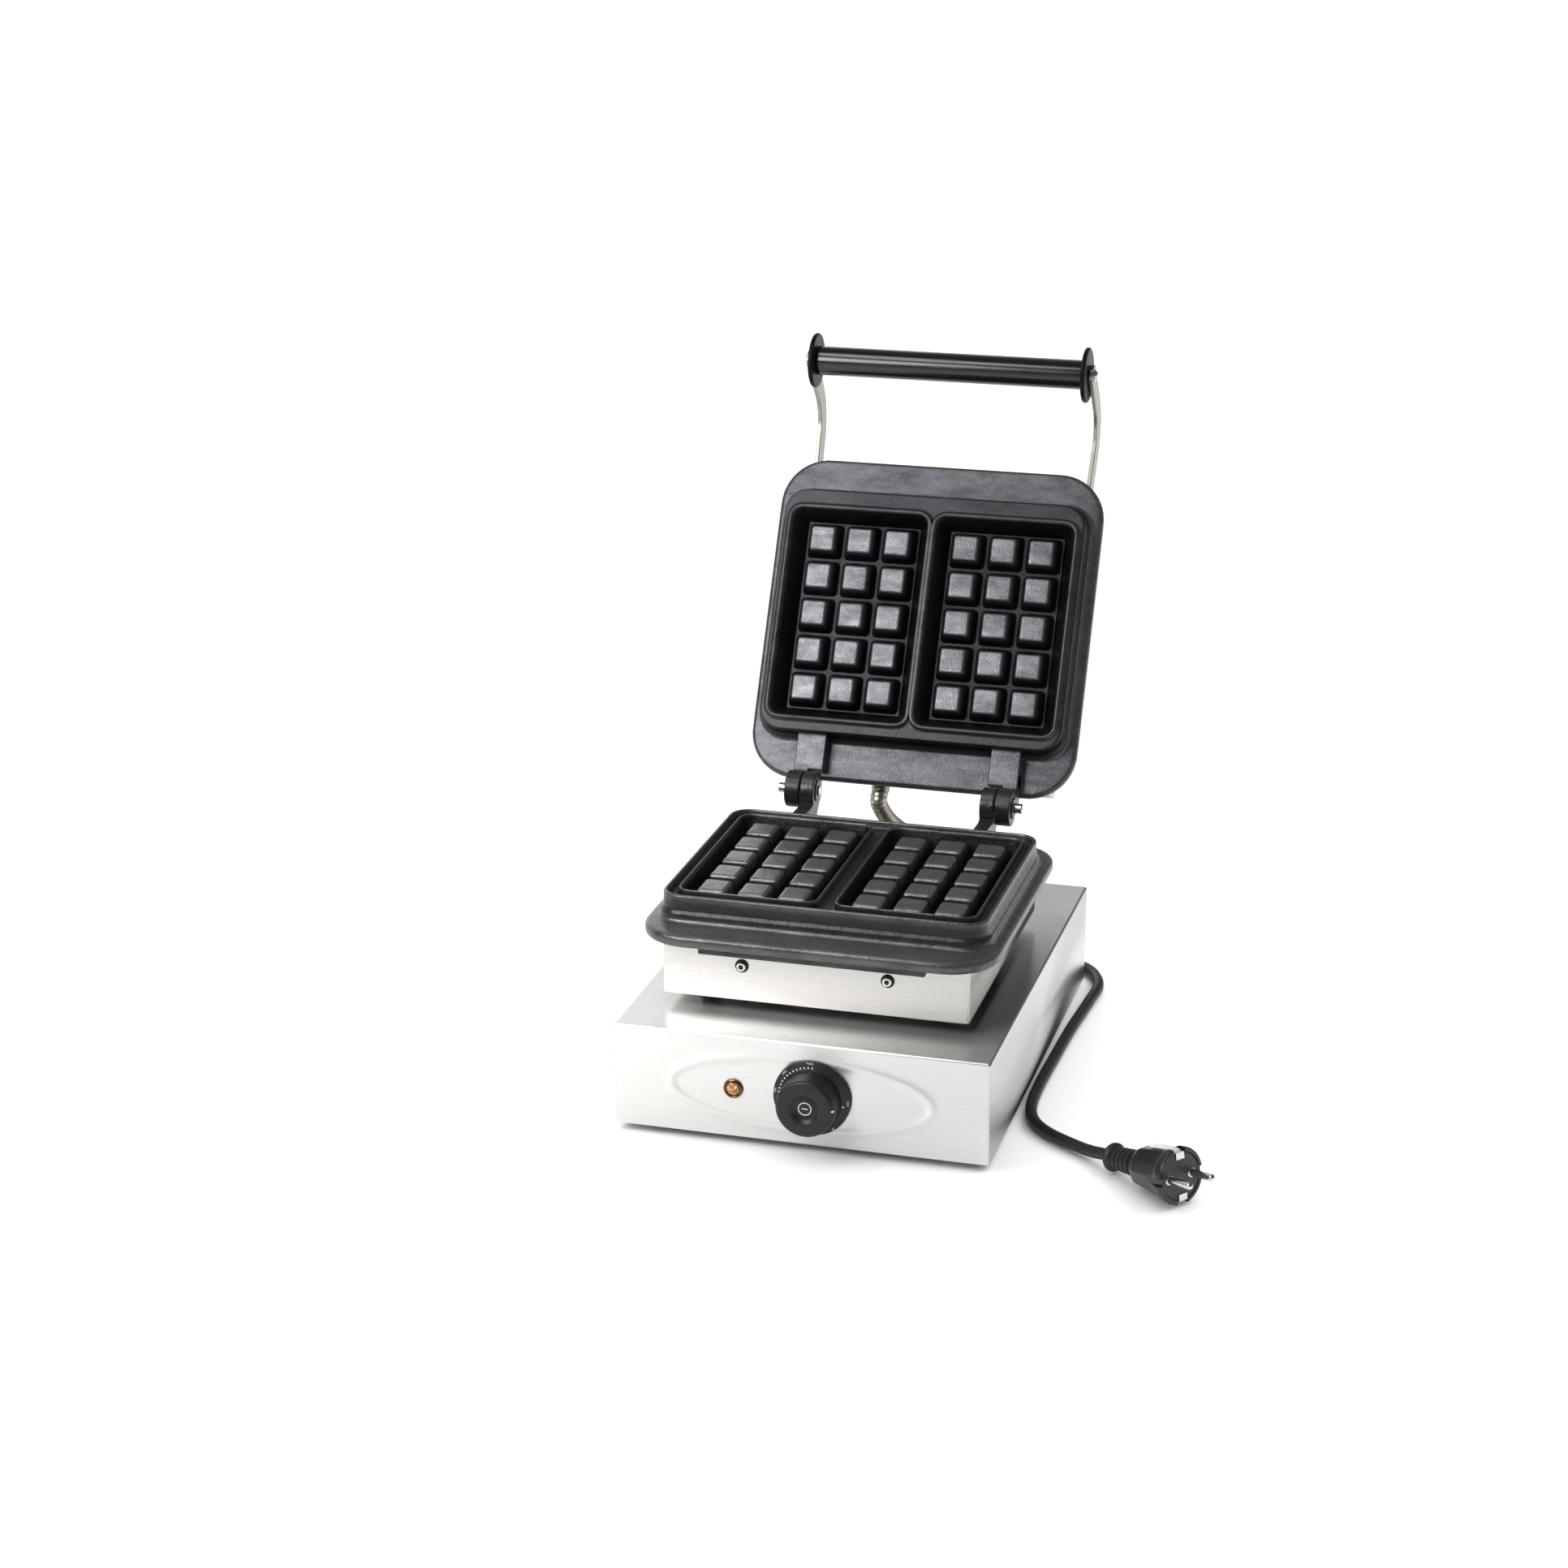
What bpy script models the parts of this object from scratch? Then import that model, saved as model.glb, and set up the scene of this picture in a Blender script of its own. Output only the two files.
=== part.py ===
"""Double waffle iron with an open lid: two cast plates on a heater housing, on a sheet-metal base.

Metres, +Z up. The front faces -Y. The origin is on the table, under the middle of the open machine.
The lid's pieces are modelled closed, then hang from an empty on the hinge axis that opens them.
"""

from math import ceil, cos, pi, radians, sin

import bmesh
import bpy
from mathutils import Matrix, Vector

# ---------------------------------------------------------------- driving dimensions
BASE_WIDTH = 0.250
BASE_DEPTH = 0.330
BASE_HEIGHT = 0.070
BASE_Y = -0.0463         # middle of the base, so that the open machine stands centred on the origin
FOOT_HEIGHT = 0.005
SHEET = 0.0012
GAP = 0.0003             # clearance between pieces that touch on the real machine
FOLD = 0.003             # outside radius of the folded sheet edges

HOUSING_WIDTH = 0.205
HOUSING_FRONT = -0.129   # these and the plate's ends are measured from the middle of the base
HOUSING_REAR = 0.084
HOUSING_RISE = 0.0096    # air gap between the base and the heater housing
HOUSING_SCREW_X = 0.0487
HOUSING_SCREW_Z = 0.1092
STANDOFF_X = 0.078
STANDOFF_INSET = 0.030   # from the housing's front and rear

FLANGE_HALF = 0.119
FLANGE_FRONT = -0.144
FLANGE_REAR = 0.0915
FLANGE_CORNER = 0.034
FLANGE_THICK = 0.008
BODY_HALF = 0.1093
BODY_FRONT = -0.1168
BODY_REAR = 0.0618
BODY_CORNER = 0.014
FIELD_INNER = 0.0068     # cavity edges of the lower plate, across and along the machine
FIELD_OUTER = 0.1006
FIELD_FRONT = -0.1045
FIELD_REAR = 0.0505
FIELD_CORNER = 0.006
BEAD_INNER = 0.0028      # the same edges inside the upper plate's beads
BEAD_OUTER = 0.1034
CAVITY_DEPTH = 0.0165
FLOOR_SHRINK = 0.0072    # how far the cavity walls lean in before the floor
CELL = 0.0275            # pitch of the blocks
LOWER_ROW_PITCH = 0.0288
CELL_COLUMNS = 3
CELL_ROWS = 5
BLOCK_TOP = 0.0168
BLOCK_FOOT = 0.0252
LOWER_RECESS = 0.0025    # block tops below each plate's rim
UPPER_RECESS = 0.0045
FIELD_X = 0.0526         # middle of a block field
FIELD_Y = -0.0268
LOWER_BODY = 0.0177      # height of the body above the flange
UPPER_BODY = 0.0205
MATING_Z = 0.1487        # height of the lower plate's rim
PLATE_GAP = 0.0006       # between the rims with the lid shut
RIB_HALF = 0.0755        # the rib under the lower flange's front edge
RIB_DEPTH = 0.0055
RIB_DROP = 0.0045

HINGE_Y = 0.102
HINGE_Z = 0.152
OPEN_ANGLE = radians(117.5)
KNUCKLE_R = 0.013
ARM_OUT = 0.0815         # hinge arms, outer and inner side, with the knuckles' split between them
ARM_SPLIT = 0.0703
ARM_IN = 0.0600
ARM_END_Y = 0.0865
LOWER_ARM = 0.0135       # faces of the hinge arms below and above the axis
UPPER_ARM = 0.0075
PIN_R = 0.0035
PIN_REACH = 0.0285       # from the arms' inner side

COVER_HALF = 0.0992
COVER_TOP = 0.2150
HANDLE_Y = -0.2113
HANDLE_Z = 0.1475
GRIP_R = 0.0105
GRIP_HALF = 0.0974
DISC_R = 0.0197
DISC_THICK = 0.004
BAR_THICK = 0.003
BAR_WIDTH = 0.015
BAR_Z = 0.199            # middle of the straight part of the handle bars, lid shut
BAR_REAR = 0.078
BAR_BEND_Y = -0.168
BAR_BEND_R = 0.0333
BAR_BEND = radians(68)
BAR_SPLAY = 0.0022       # how far the bars spread from the cover's front to the grip
BAR_SCREW_Y = (-0.100, 0.055)

KNOB_X = 0.0088
KNOB_Z = 0.039
SKIRT_R = 0.0256
KNOB_R = 0.0198
KNOB_OUT = 0.0220        # how far the knob stands out from the front panel
CAP_R = 0.0064
LAMP_X = -0.0442
LAMP_Z = 0.0386
OVAL_HALF = 0.0886
OVAL_RISE = 0.0262
OVAL_Z = 0.0390

HOSE_X = -0.0245
HOSE_R = 0.0062
HOSE_BASE_Z = 0.045
HOSE_LID_Z = 0.195       # lid shut
HOSE_BOW = (0, 0, 0, 0.0030, 0.0070, 0.0080, 0.0050, 0, 0)  # sideways, point by point
GLAND_LENGTH = 0.008

CORD_R = 0.004
CORD_EXIT_X = 0.054
CORD_EXIT_Z = 0.042
COIL_X = 0.014
COIL_Y = 0.240           # from the middle of the base
COIL_R = 0.040           # at the middle of the turns
COIL_TURNS = 3.75
COIL_PITCH = 0.0082
PLUG_X = 0.1985
PLUG_Y = -0.1392
PLUG_Z = 0.0095
PLUG_YAW = radians(-36.9)
PLUG_TILT = radians(9.0)
PLUG_R = 0.0187
PLUG_BODY_START = 0.0265
PLUG_BODY_LENGTH = 0.0380
PLUG_PIN_Y = 0.0095

STEEL = (0.78, 0.77, 0.74)
CAST = (0.035, 0.033, 0.032)
BLACK = (0.02, 0.02, 0.022)
CORNERS = ((-1, -1), (1, -1), (1, 1), (-1, 1))

base_front = BASE_Y - BASE_DEPTH / 2
base_rear = BASE_Y + BASE_DEPTH / 2
base_top = FOOT_HEIGHT + BASE_HEIGHT
housing_z = base_top + HOUSING_RISE
flange_top = MATING_Z - LOWER_BODY
flange_under = flange_top - FLANGE_THICK
upper_face = MATING_Z + PLATE_GAP + UPPER_BODY
upper_back = upper_face + FLANGE_THICK
hinge_y = BASE_Y + HINGE_Y
plate_mid_y = BASE_Y + FIELD_Y
bar_x = GRIP_HALF + DISC_THICK + 2 * GAP


# ---------------------------------------------------------------- helpers
def clear_scene():
    for obj in list(bpy.data.objects):
        bpy.data.objects.remove(obj, do_unlink=True)


def material(name, color, roughness, metallic=0.0):
    made = bpy.data.materials.new(name)
    made.use_nodes = True
    shader = made.node_tree.nodes["Principled BSDF"]
    shader.inputs["Base Color"].default_value = (*color, 1.0)
    shader.inputs["Roughness"].default_value = roughness
    shader.inputs["Metallic"].default_value = metallic
    made.diffuse_color = (*color, 1.0)
    return made


def finish(name, mesh, color, roughness, metallic=0.0, parent=None, smooth=True):
    """Turns a bmesh into a named object with its own material."""
    bmesh.ops.recalc_face_normals(mesh, faces=mesh.faces)
    data = bpy.data.meshes.new(name)
    mesh.to_mesh(data)
    mesh.free()
    if smooth:
        data.shade_smooth()
        data.set_sharp_from_angle(angle=radians(30))
    data.materials.append(material(name, color, roughness, metallic))
    obj = bpy.data.objects.new(name, data)
    bpy.context.scene.collection.objects.link(obj)
    obj.parent = parent
    return obj


def combine(obj, mesh, operation):
    """Cuts the bmesh from the object, or joins it on, with a Boolean modifier."""
    bmesh.ops.recalc_face_normals(mesh, faces=mesh.faces)
    data = bpy.data.meshes.new(obj.name + "_tool")
    mesh.to_mesh(data)
    mesh.free()
    tool = bpy.data.objects.new(obj.name + "_tool", data)
    bpy.context.scene.collection.objects.link(tool)
    tool.parent = obj.parent
    tool.hide_render = True
    tool.display_type = "WIRE"
    modifier = obj.modifiers.new(operation.lower(), "BOOLEAN")
    modifier.operation = operation
    modifier.solver = "EXACT"
    modifier.object = tool


def cut(obj, mesh):
    combine(obj, mesh, "DIFFERENCE")


def join(obj, mesh):
    combine(obj, mesh, "UNION")


def skin(mesh, rings, loop=False):
    """Bridges rings of equal counts; the ends are capped unless the rings run in a loop."""
    rows = [[mesh.verts.new(p) for p in ring] for ring in rings]
    count = len(rows[0])
    pairs = list(zip(rows, rows[1:]))
    if loop:
        pairs.append((rows[-1], rows[0]))
    for low, high in pairs:
        for i in range(count):
            j = (i + 1) % count
            mesh.faces.new((low[i], low[j], high[j], high[i]))
    if not loop:
        mesh.faces.new(rows[0])
        mesh.faces.new(rows[-1])
    return mesh


def rounded(x0, x1, y0, y1, radius, z, steps=4):
    """A rectangle with round corners, at height z."""
    corners = ((x1, y1, 0), (x0, y1, 1), (x0, y0, 2), (x1, y0, 3))
    ring = []
    for x, y, quarter in corners:
        sx = 1 if x == x1 else -1
        sy = 1 if y == y1 else -1
        for step in range(steps + 1):
            angle = (quarter + step / steps) * pi / 2
            ring.append(Vector((
                x - sx * radius + radius * cos(angle),
                y - sy * radius + radius * sin(angle),
                z,
            )))
    return ring


def box(mesh, x0, x1, y0, y1, z0, z1):
    low = [Vector((x0, y0, z0)), Vector((x1, y0, z0)), Vector((x1, y1, z0)), Vector((x0, y1, z0))]
    return skin(mesh, [low, [p + Vector((0, 0, z1 - z0)) for p in low]])


def turned(mesh, profile, matrix, sides=24):
    """Turns (radius, height) pairs about the matrix's Z; a zero radius end is capped flat."""
    rings = []
    for radius, height in profile:
        rings.append([
            matrix @ Vector((radius * cos(2 * pi * i / sides), radius * sin(2 * pi * i / sides), height))
            for i in range(sides)
        ])
    return skin(mesh, rings)


def turned_tube(mesh, profile, matrix, sides=24):
    """Turns a closed outline of (radius, height) pairs about the matrix's Z."""
    rings = []
    for i in range(sides):
        angle = 2 * pi * i / sides
        rings.append([matrix @ Vector((r * cos(angle), r * sin(angle), h)) for r, h in profile])
    return skin(mesh, rings, loop=True)


def facing(x, y, z, axis):
    """A matrix whose Z points along the axis, at a place."""
    turn = Vector(axis).to_track_quat("Z", "Y").to_matrix().to_4x4()
    return Matrix.Translation((x, y, z)) @ turn


def plate_outline(mesh, points, x0, x1):
    """Extrudes an outline of (y, z) points from x0 to x1."""
    return skin(mesh, [[Vector((x, y, z)) for y, z in points] for x in (x0, x1)])


def arc(cy, cz, radius, start, end, steps):
    """Points on a circle in the (y, z) plane, in degrees from +Y towards +Z."""
    angles = [radians(start + (end - start) * i / steps) for i in range(steps + 1)]
    return [(cy + radius * cos(a), cz + radius * sin(a)) for a in angles]


def smooth_route(points, spacing):
    """Points about a spacing apart on a smooth curve through the route's own points."""
    route = [Vector(p) for p in points]
    ends = [2 * route[0] - route[1], *route, 2 * route[-1] - route[-2]]
    curve = [route[0]]
    for a, b, c, d in zip(ends, ends[1:], ends[2:], ends[3:]):
        steps = max(1, ceil((c - b).length / spacing))
        for i in range(1, steps + 1):
            t = i / steps
            curve.append(
                (2 * b + (c - a) * t + (2 * a - 5 * b + 4 * c - d) * t**2
                 + (3 * b - a - 3 * c + d) * t**3) / 2
            )
    return curve


def tube(name, points, radius, color, roughness, metallic=0.0, bevel_resolution=2):
    """A round tube with filled caps along a list of points."""
    data = bpy.data.curves.new(name, "CURVE")
    data.dimensions = "3D"
    spline = data.splines.new("POLY")
    spline.points.add(len(points) - 1)
    for vertex, point in zip(spline.points, points):
        vertex.co = (*point, 1.0)
    data.bevel_depth = radius
    data.bevel_resolution = bevel_resolution
    data.use_fill_caps = True
    data.materials.append(material(name, color, roughness, metallic))
    obj = bpy.data.objects.new(name, data)
    bpy.context.scene.collection.objects.link(obj)
    return obj


def empty(name, place):
    obj = bpy.data.objects.new(name, None)
    obj.location = place
    bpy.context.scene.collection.objects.link(obj)
    return obj


def opened(x, y, z):
    """Where a point of the shut lid is when the lid stands open."""
    dy = y - hinge_y
    dz = z - HINGE_Z
    c = cos(OPEN_ANGLE)
    s = sin(OPEN_ANGLE)
    return Vector((x, hinge_y + dy * c + dz * s, HINGE_Z - dy * s + dz * c))


# ---------------------------------------------------------------- sheet-metal pieces
def tray(x0, x1, y0, y1, z_open, z_closed, sheet, radius):
    """A folded sheet box, open at z_open, with round corners and a soft fold at z_closed."""
    inward = 1 if z_closed > z_open else -1
    fold = min(radius, 0.002)
    rings = [
        rounded(x0 + sheet, x1 - sheet, y0 + sheet, y1 - sheet, radius - sheet / 2, z_closed - inward * sheet),
        rounded(x0 + sheet, x1 - sheet, y0 + sheet, y1 - sheet, radius - sheet / 2, z_open),
        rounded(x0, x1, y0, y1, radius, z_open),
        rounded(x0, x1, y0, y1, radius, z_closed - inward * fold),
        rounded(x0 + 0.3 * fold, x1 - 0.3 * fold, y0 + 0.3 * fold, y1 - 0.3 * fold, radius,
                z_closed - inward * 0.3 * fold),
        rounded(x0 + fold, x1 - fold, y0 + fold, y1 - fold, radius, z_closed),
    ]
    return skin(bmesh.new(), rings)


def add_base_housing():
    half = BASE_WIDTH / 2
    obj = finish("base_housing", tray(-half, half, base_front, base_rear, FOOT_HEIGHT, base_top, SHEET, FOLD),
                 STEEL, 0.3, 1.0)
    ridge = []
    for i in range(40):
        angle = 2 * pi * i / 40
        ring = []
        for spread, rise in ((-0.004, -0.0004), (-0.001, 0.0006), (0.001, 0.0006), (0.004, -0.0004)):
            ring.append(Vector((
                (OVAL_HALF - 0.004 + spread) * cos(angle),
                base_front - rise,
                OVAL_Z + (OVAL_RISE - 0.004 + spread) * sin(angle),
            )))
        ridge.append(ring)
    join(obj, skin(bmesh.new(), ridge, loop=True))
    wall = (-0.004, 0.004)
    holes = bmesh.new()
    turned(holes, [(0.0048, h) for h in wall], facing(KNOB_X, base_front, KNOB_Z, (0, 1, 0)), 16)
    turned(holes, [(0.0056, h) for h in wall], facing(LAMP_X, base_front, LAMP_Z, (0, 1, 0)), 16)
    turned(holes, [(0.0070, h) for h in wall], facing(CORD_EXIT_X, base_rear, CORD_EXIT_Z, (0, 1, 0)), 16)
    turned(holes, [(0.0070, h) for h in wall], facing(HOSE_X, base_rear, HOSE_BASE_Z, (0, 1, 0)), 16)
    turned(holes, [(0.0110, h) for h in wall], facing(0, BASE_Y, base_top, (0, 0, 1)), 16)
    cut(obj, holes)


def add_base_bottom_plate():
    half = BASE_WIDTH / 2 - SHEET - GAP
    z = FOOT_HEIGHT + 0.0005
    front = base_front + SHEET + GAP
    rear = base_rear - SHEET - GAP
    obj = finish("base_bottom_plate",
                 skin(bmesh.new(), [rounded(-half, half, front, rear, 0.0024, h) for h in (z, z + SHEET)]),
                 STEEL, 0.45, 1.0)
    slots = bmesh.new()
    for i in range(6):
        x = (i - 2.5) * 0.024
        box(slots, x - 0.002, x + 0.002, BASE_Y - 0.035, BASE_Y + 0.035, z - 0.001, z + 2 * SHEET)
    cut(obj, slots)


def add_foot(name, x, y):
    profile = [(0.0075, 0), (0.0090, 0.0012), (0.0100, 0.0046), (0.0096, FOOT_HEIGHT + 0.0002)]
    finish(name, turned(bmesh.new(), profile, Matrix.Translation((x, y, 0)), 16), BLACK, 0.8)


def add_feet():
    x = BASE_WIDTH / 2 - 0.027
    for side, sx in (("left", -1), ("right", 1)):
        for end, y in (("front", base_front + 0.032), ("rear", base_rear - 0.027)):
            add_foot(f"foot_{end}_{side}", sx * x, y)


def add_standoffs():
    profile = [(0.0070, base_top + GAP), (0.0070, housing_z - GAP)]
    for side, sx in (("left", -1), ("right", 1)):
        for end, y in (("front", HOUSING_FRONT + STANDOFF_INSET), ("rear", HOUSING_REAR - STANDOFF_INSET)):
            finish(f"standoff_{end}_{side}",
                   turned(bmesh.new(), profile, Matrix.Translation((sx * STANDOFF_X, BASE_Y + y, 0)), 12),
                   STEEL, 0.4, 1.0)


def add_wire_duct():
    low = base_top - 0.006
    high = housing_z + 0.006
    outline = [(0.0084, low), (0.0100, low), (0.0100, high), (0.0084, high)]
    finish("wire_duct", turned_tube(bmesh.new(), outline, Matrix.Translation((0, BASE_Y, 0)), 16),
           STEEL, 0.4, 1.0)


def add_lower_housing():
    half = HOUSING_WIDTH / 2
    front = BASE_Y + HOUSING_FRONT
    obj = finish("lower_housing",
                 tray(-half, half, front, BASE_Y + HOUSING_REAR, flange_under - GAP, housing_z, 0.001, 0.0025),
                 STEEL, 0.3, 1.0)
    holes = bmesh.new()
    turned(holes, [(0.0108, -0.004), (0.0108, 0.004)], facing(0, BASE_Y, housing_z, (0, 0, 1)), 16)
    for sx in (-1, 1):
        turned(holes, [(0.0030, -0.004), (0.0030, 0.004)],
               facing(sx * HOUSING_SCREW_X, front, HOUSING_SCREW_Z, (0, 1, 0)), 12)
    cut(obj, holes)


def add_upper_cover(lid):
    obj = finish("upper_cover",
                 tray(-COVER_HALF, COVER_HALF, BASE_Y + HOUSING_FRONT, BASE_Y + HOUSING_REAR,
                      upper_back + GAP, COVER_TOP, 0.001, 0.004),
                 STEEL, 0.3, 1.0, lid)
    holes = bmesh.new()
    turned(holes, [(0.0070, -0.004), (0.0070, 0.004)],
           facing(HOSE_X, BASE_Y + HOUSING_REAR, HOSE_LID_Z, (0, 1, 0)), 16)
    for sx in (-1, 1):
        for y in BAR_SCREW_Y:
            turned(holes, [(0.0026, -0.004), (0.0026, 0.004)],
                   facing(sx * COVER_HALF, BASE_Y + y, BAR_Z, (1, 0, 0)), 12)
    cut(obj, holes)


# ---------------------------------------------------------------- cast plates
def cavity(side, inner, outer, top, floor):
    """The hollow of one waffle; top and floor are heights, floor being the deep end."""
    x0, x1 = sorted((side * inner, side * outer))
    y0 = BASE_Y + FIELD_FRONT
    y1 = BASE_Y + FIELD_REAR
    lean = FLOOR_SHRINK
    rise = (top - floor) * 0.12
    return skin(bmesh.new(), [
        rounded(x0 + lean, x1 - lean, y0 + lean, y1 - lean, 0.003, floor, 3),
        rounded(x0, x1, y0, y1, FIELD_CORNER, top, 3),
        rounded(x0, x1, y0, y1, FIELD_CORNER, top + rise, 3),
    ])


def blocks(side, floor, tip, pitch):
    """The blocks of one waffle field, sunk a little into the floor; pitch is that of the rows."""
    mesh = bmesh.new()
    sink = (floor - tip) * 0.08
    foot_x = BLOCK_FOOT / 2
    top_x = BLOCK_TOP / 2
    foot_y = foot_x * pitch / CELL
    top_y = top_x * pitch / CELL
    for column in range(CELL_COLUMNS):
        for row in range(CELL_ROWS):
            x = side * FIELD_X + (column - (CELL_COLUMNS - 1) / 2) * CELL
            y = plate_mid_y + (row - (CELL_ROWS - 1) / 2) * pitch
            skin(mesh, [
                [Vector((x + i * foot_x, y + j * foot_y, floor + sink)) for i, j in CORNERS],
                [Vector((x + i * foot_x, y + j * foot_y, floor)) for i, j in CORNERS],
                [Vector((x + i * top_x, y + j * top_y, tip)) for i, j in CORNERS],
            ])
    return mesh


def hinge_arm(side, face, root, knuckle_in, knuckle_out):
    """A cast arm with its knuckle; face is the side turned to the mating plane, root the far side."""
    up = 1 if face < HINGE_Z else -1
    mesh = bmesh.new()
    x0, x1 = sorted((side * ARM_IN, side * ARM_OUT))
    box(mesh, x0, x1, BASE_Y + BODY_REAR - 0.006, BASE_Y + ARM_END_Y, min(face, root), max(face, root))
    neck = bmesh.new()
    circle = arc(hinge_y, HINGE_Z, KNUCKLE_R, -75 * up, 200 * up, 18)
    back = BASE_Y + ARM_END_Y - 0.006
    outline = [(back, root), *circle, (BASE_Y + ARM_END_Y + 0.003, face), (back, face)]
    x0, x1 = sorted((side * knuckle_in, side * knuckle_out))
    plate_outline(neck, outline, x0, x1)
    return mesh, neck


def pin_hole():
    mesh = bmesh.new()
    for side in (-1, 1):
        x0, x1 = sorted((side * (ARM_IN - 0.002), side * (ARM_OUT + 0.002)))
        plate_outline(mesh, arc(hinge_y, HINGE_Z, PIN_R + 0.0004, 0, 337.5, 15), x0, x1)
    return mesh


def cast_plate(name, face, away, body_height, inner, outer, parent=None):
    """A flange with a raised body, two cavities with their blocks and two hinge arms.

    face is the height of the flange's front, away is -1 where the mating side looks down.
    """
    back = face - away * FLANGE_THICK
    rim = face + away * body_height
    deep = rim - away * CAVITY_DEPTH
    front = BASE_Y + FLANGE_FRONT
    rear = BASE_Y + FLANGE_REAR
    ease = 0.0015
    flange = [
        rounded(-FLANGE_HALF + e, FLANGE_HALF - e, front + e, rear - e, FLANGE_CORNER - e, z, 6)
        for e, z in ((ease, back), (0, back + away * ease), (0, face - away * ease), (ease, face))
    ]
    obj = finish(name, skin(bmesh.new(), flange), CAST, 0.45, 0.2, parent)
    swell = 0.0022
    shoulder = face + away * 0.0055
    body = [
        rounded(-BODY_HALF - e, BODY_HALF + e, BASE_Y + BODY_FRONT - e, BASE_Y + BODY_REAR + e,
                BODY_CORNER + e, z, 4)
        for e, z in ((swell, face - away * 0.001), (swell, shoulder), (0, shoulder + away * 0.003), (0, rim))
    ]
    join(obj, skin(bmesh.new(), body))
    lip = 0.0016 if away > 0 else 0.0022
    groove_floor = rim - away * (0.0055 if away > 0 else 0.0020)
    wall = 0.0026 if away > 0 else -0.001
    groove = [
        rounded(-BODY_HALF + wall, BODY_HALF - wall, BASE_Y + BODY_FRONT + wall, BASE_Y + BODY_REAR - wall,
                BODY_CORNER - wall, z, 4)
        for z in (groove_floor, rim + away * 0.002)
    ]
    cut(obj, skin(bmesh.new(), groove))
    for side in (-1, 1):
        x0, x1 = sorted((side * (inner - lip), side * (outer + lip)))
        frame = [
            rounded(x0, x1, BASE_Y + FIELD_FRONT - lip, BASE_Y + FIELD_REAR + lip, FIELD_CORNER + lip, z, 3)
            for z in (groove_floor - away * 0.002, rim)
        ]
        join(obj, skin(bmesh.new(), frame))
    for side in (-1, 1):
        cut(obj, cavity(side, inner, outer, rim, deep))
    recess = LOWER_RECESS if away > 0 else UPPER_RECESS
    pitch = LOWER_ROW_PITCH if away > 0 else CELL
    for side in (-1, 1):
        join(obj, blocks(side, deep, rim - away * recess, pitch))
    arm_face = HINGE_Z - away * (LOWER_ARM if away > 0 else UPPER_ARM)
    arm_root = back + away * 0.001
    reach = (ARM_IN, ARM_SPLIT - GAP) if away > 0 else (ARM_SPLIT + GAP, ARM_OUT)
    for side in (-1, 1):
        for piece in hinge_arm(side, arm_face, arm_root, *reach):
            join(obj, piece)
    cut(obj, pin_hole())
    return obj


def add_lower_plate():
    obj = cast_plate("lower_plate", flange_top, 1, LOWER_BODY, FIELD_INNER, FIELD_OUTER)
    y = BASE_Y + HOUSING_FRONT - RIB_DROP
    join(obj, box(bmesh.new(), -RIB_HALF, RIB_HALF, y - RIB_DEPTH, y,
                  flange_under - RIB_DROP, flange_under + 0.002))


def add_upper_plate(lid):
    cast_plate("upper_plate", upper_face, -1, UPPER_BODY, BEAD_INNER, BEAD_OUTER, lid)


# ---------------------------------------------------------------- heating
def element_route(z, tail):
    """A flat meander under a plate, with both cold ends turned away from it."""
    half = 0.080
    front = BASE_Y - 0.105
    rear = BASE_Y + 0.050
    points = [Vector((-0.020, rear - 0.020, z + tail)), Vector((-0.020, rear - 0.020, z + 0.3 * tail))]
    points.append(Vector((-0.026, rear - 0.012, z)))
    for x, y0, y1 in ((-half, rear, front), (-half / 3, front, rear - 0.05), (half / 3, rear - 0.05, front),
                      (half, front, rear)):
        points.append(Vector((x, y0 + (y1 - y0) * 0.08, z)))
        points.append(Vector((x, y0 + (y1 - y0) * 0.92, z)))
    points.append(Vector((0.026, rear - 0.012, z)))
    points += [Vector((0.020, rear - 0.020, z + 0.3 * tail)), Vector((0.020, rear - 0.020, z + tail))]
    return smooth_route(points, 0.02)


def add_heating(lid):
    r = 0.0032
    z = flange_under - GAP - r
    tube("lower_heating_element", element_route(z - 0.0015, -0.006), r, (0.2, 0.19, 0.18), 0.5, 0.8)
    upper = tube("upper_heating_element", element_route(upper_back + GAP + r + 0.0015, 0.006), r,
                 (0.2, 0.19, 0.18), 0.5, 0.8)
    upper.parent = lid
    front = BASE_Y + HOUSING_FRONT + 0.003
    rear = BASE_Y + HOUSING_REAR - 0.003
    low = bmesh.new()
    skin(low, [rounded(-0.098, 0.098, front, rear, 0.004, h) for h in (housing_z + 0.008, housing_z + 0.022)])
    finish("lower_insulation", low, (0.8, 0.78, 0.7), 0.95)
    high = bmesh.new()
    skin(high, [rounded(-0.096, 0.096, front, rear, 0.004, h) for h in (COVER_TOP - 0.019, COVER_TOP - 0.004)])
    obj = finish("upper_insulation", high, (0.8, 0.78, 0.7), 0.95, 0.0, lid)
    slot = bmesh.new()
    box(slot, HOSE_X - 0.012, HOSE_X + 0.012, rear - 0.016, rear + 0.002, COVER_TOP - 0.03, COVER_TOP)
    for sx in (-1, 1):
        for y in BAR_SCREW_Y:
            box(slot, sx * 0.092 - 0.006, sx * 0.092 + 0.006, BASE_Y + y - 0.005, BASE_Y + y + 0.005,
                COVER_TOP - 0.03, COVER_TOP)
    cut(obj, slot)
    probe = [(0.0030, -0.030), (0.0030, 0.030)]
    finish("temperature_probe",
           turned(bmesh.new(), probe, facing(0, BASE_Y - 0.045, flange_under - 0.0045, (0, 1, 0)), 10),
           (0.6, 0.35, 0.2), 0.35, 1.0)


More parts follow.
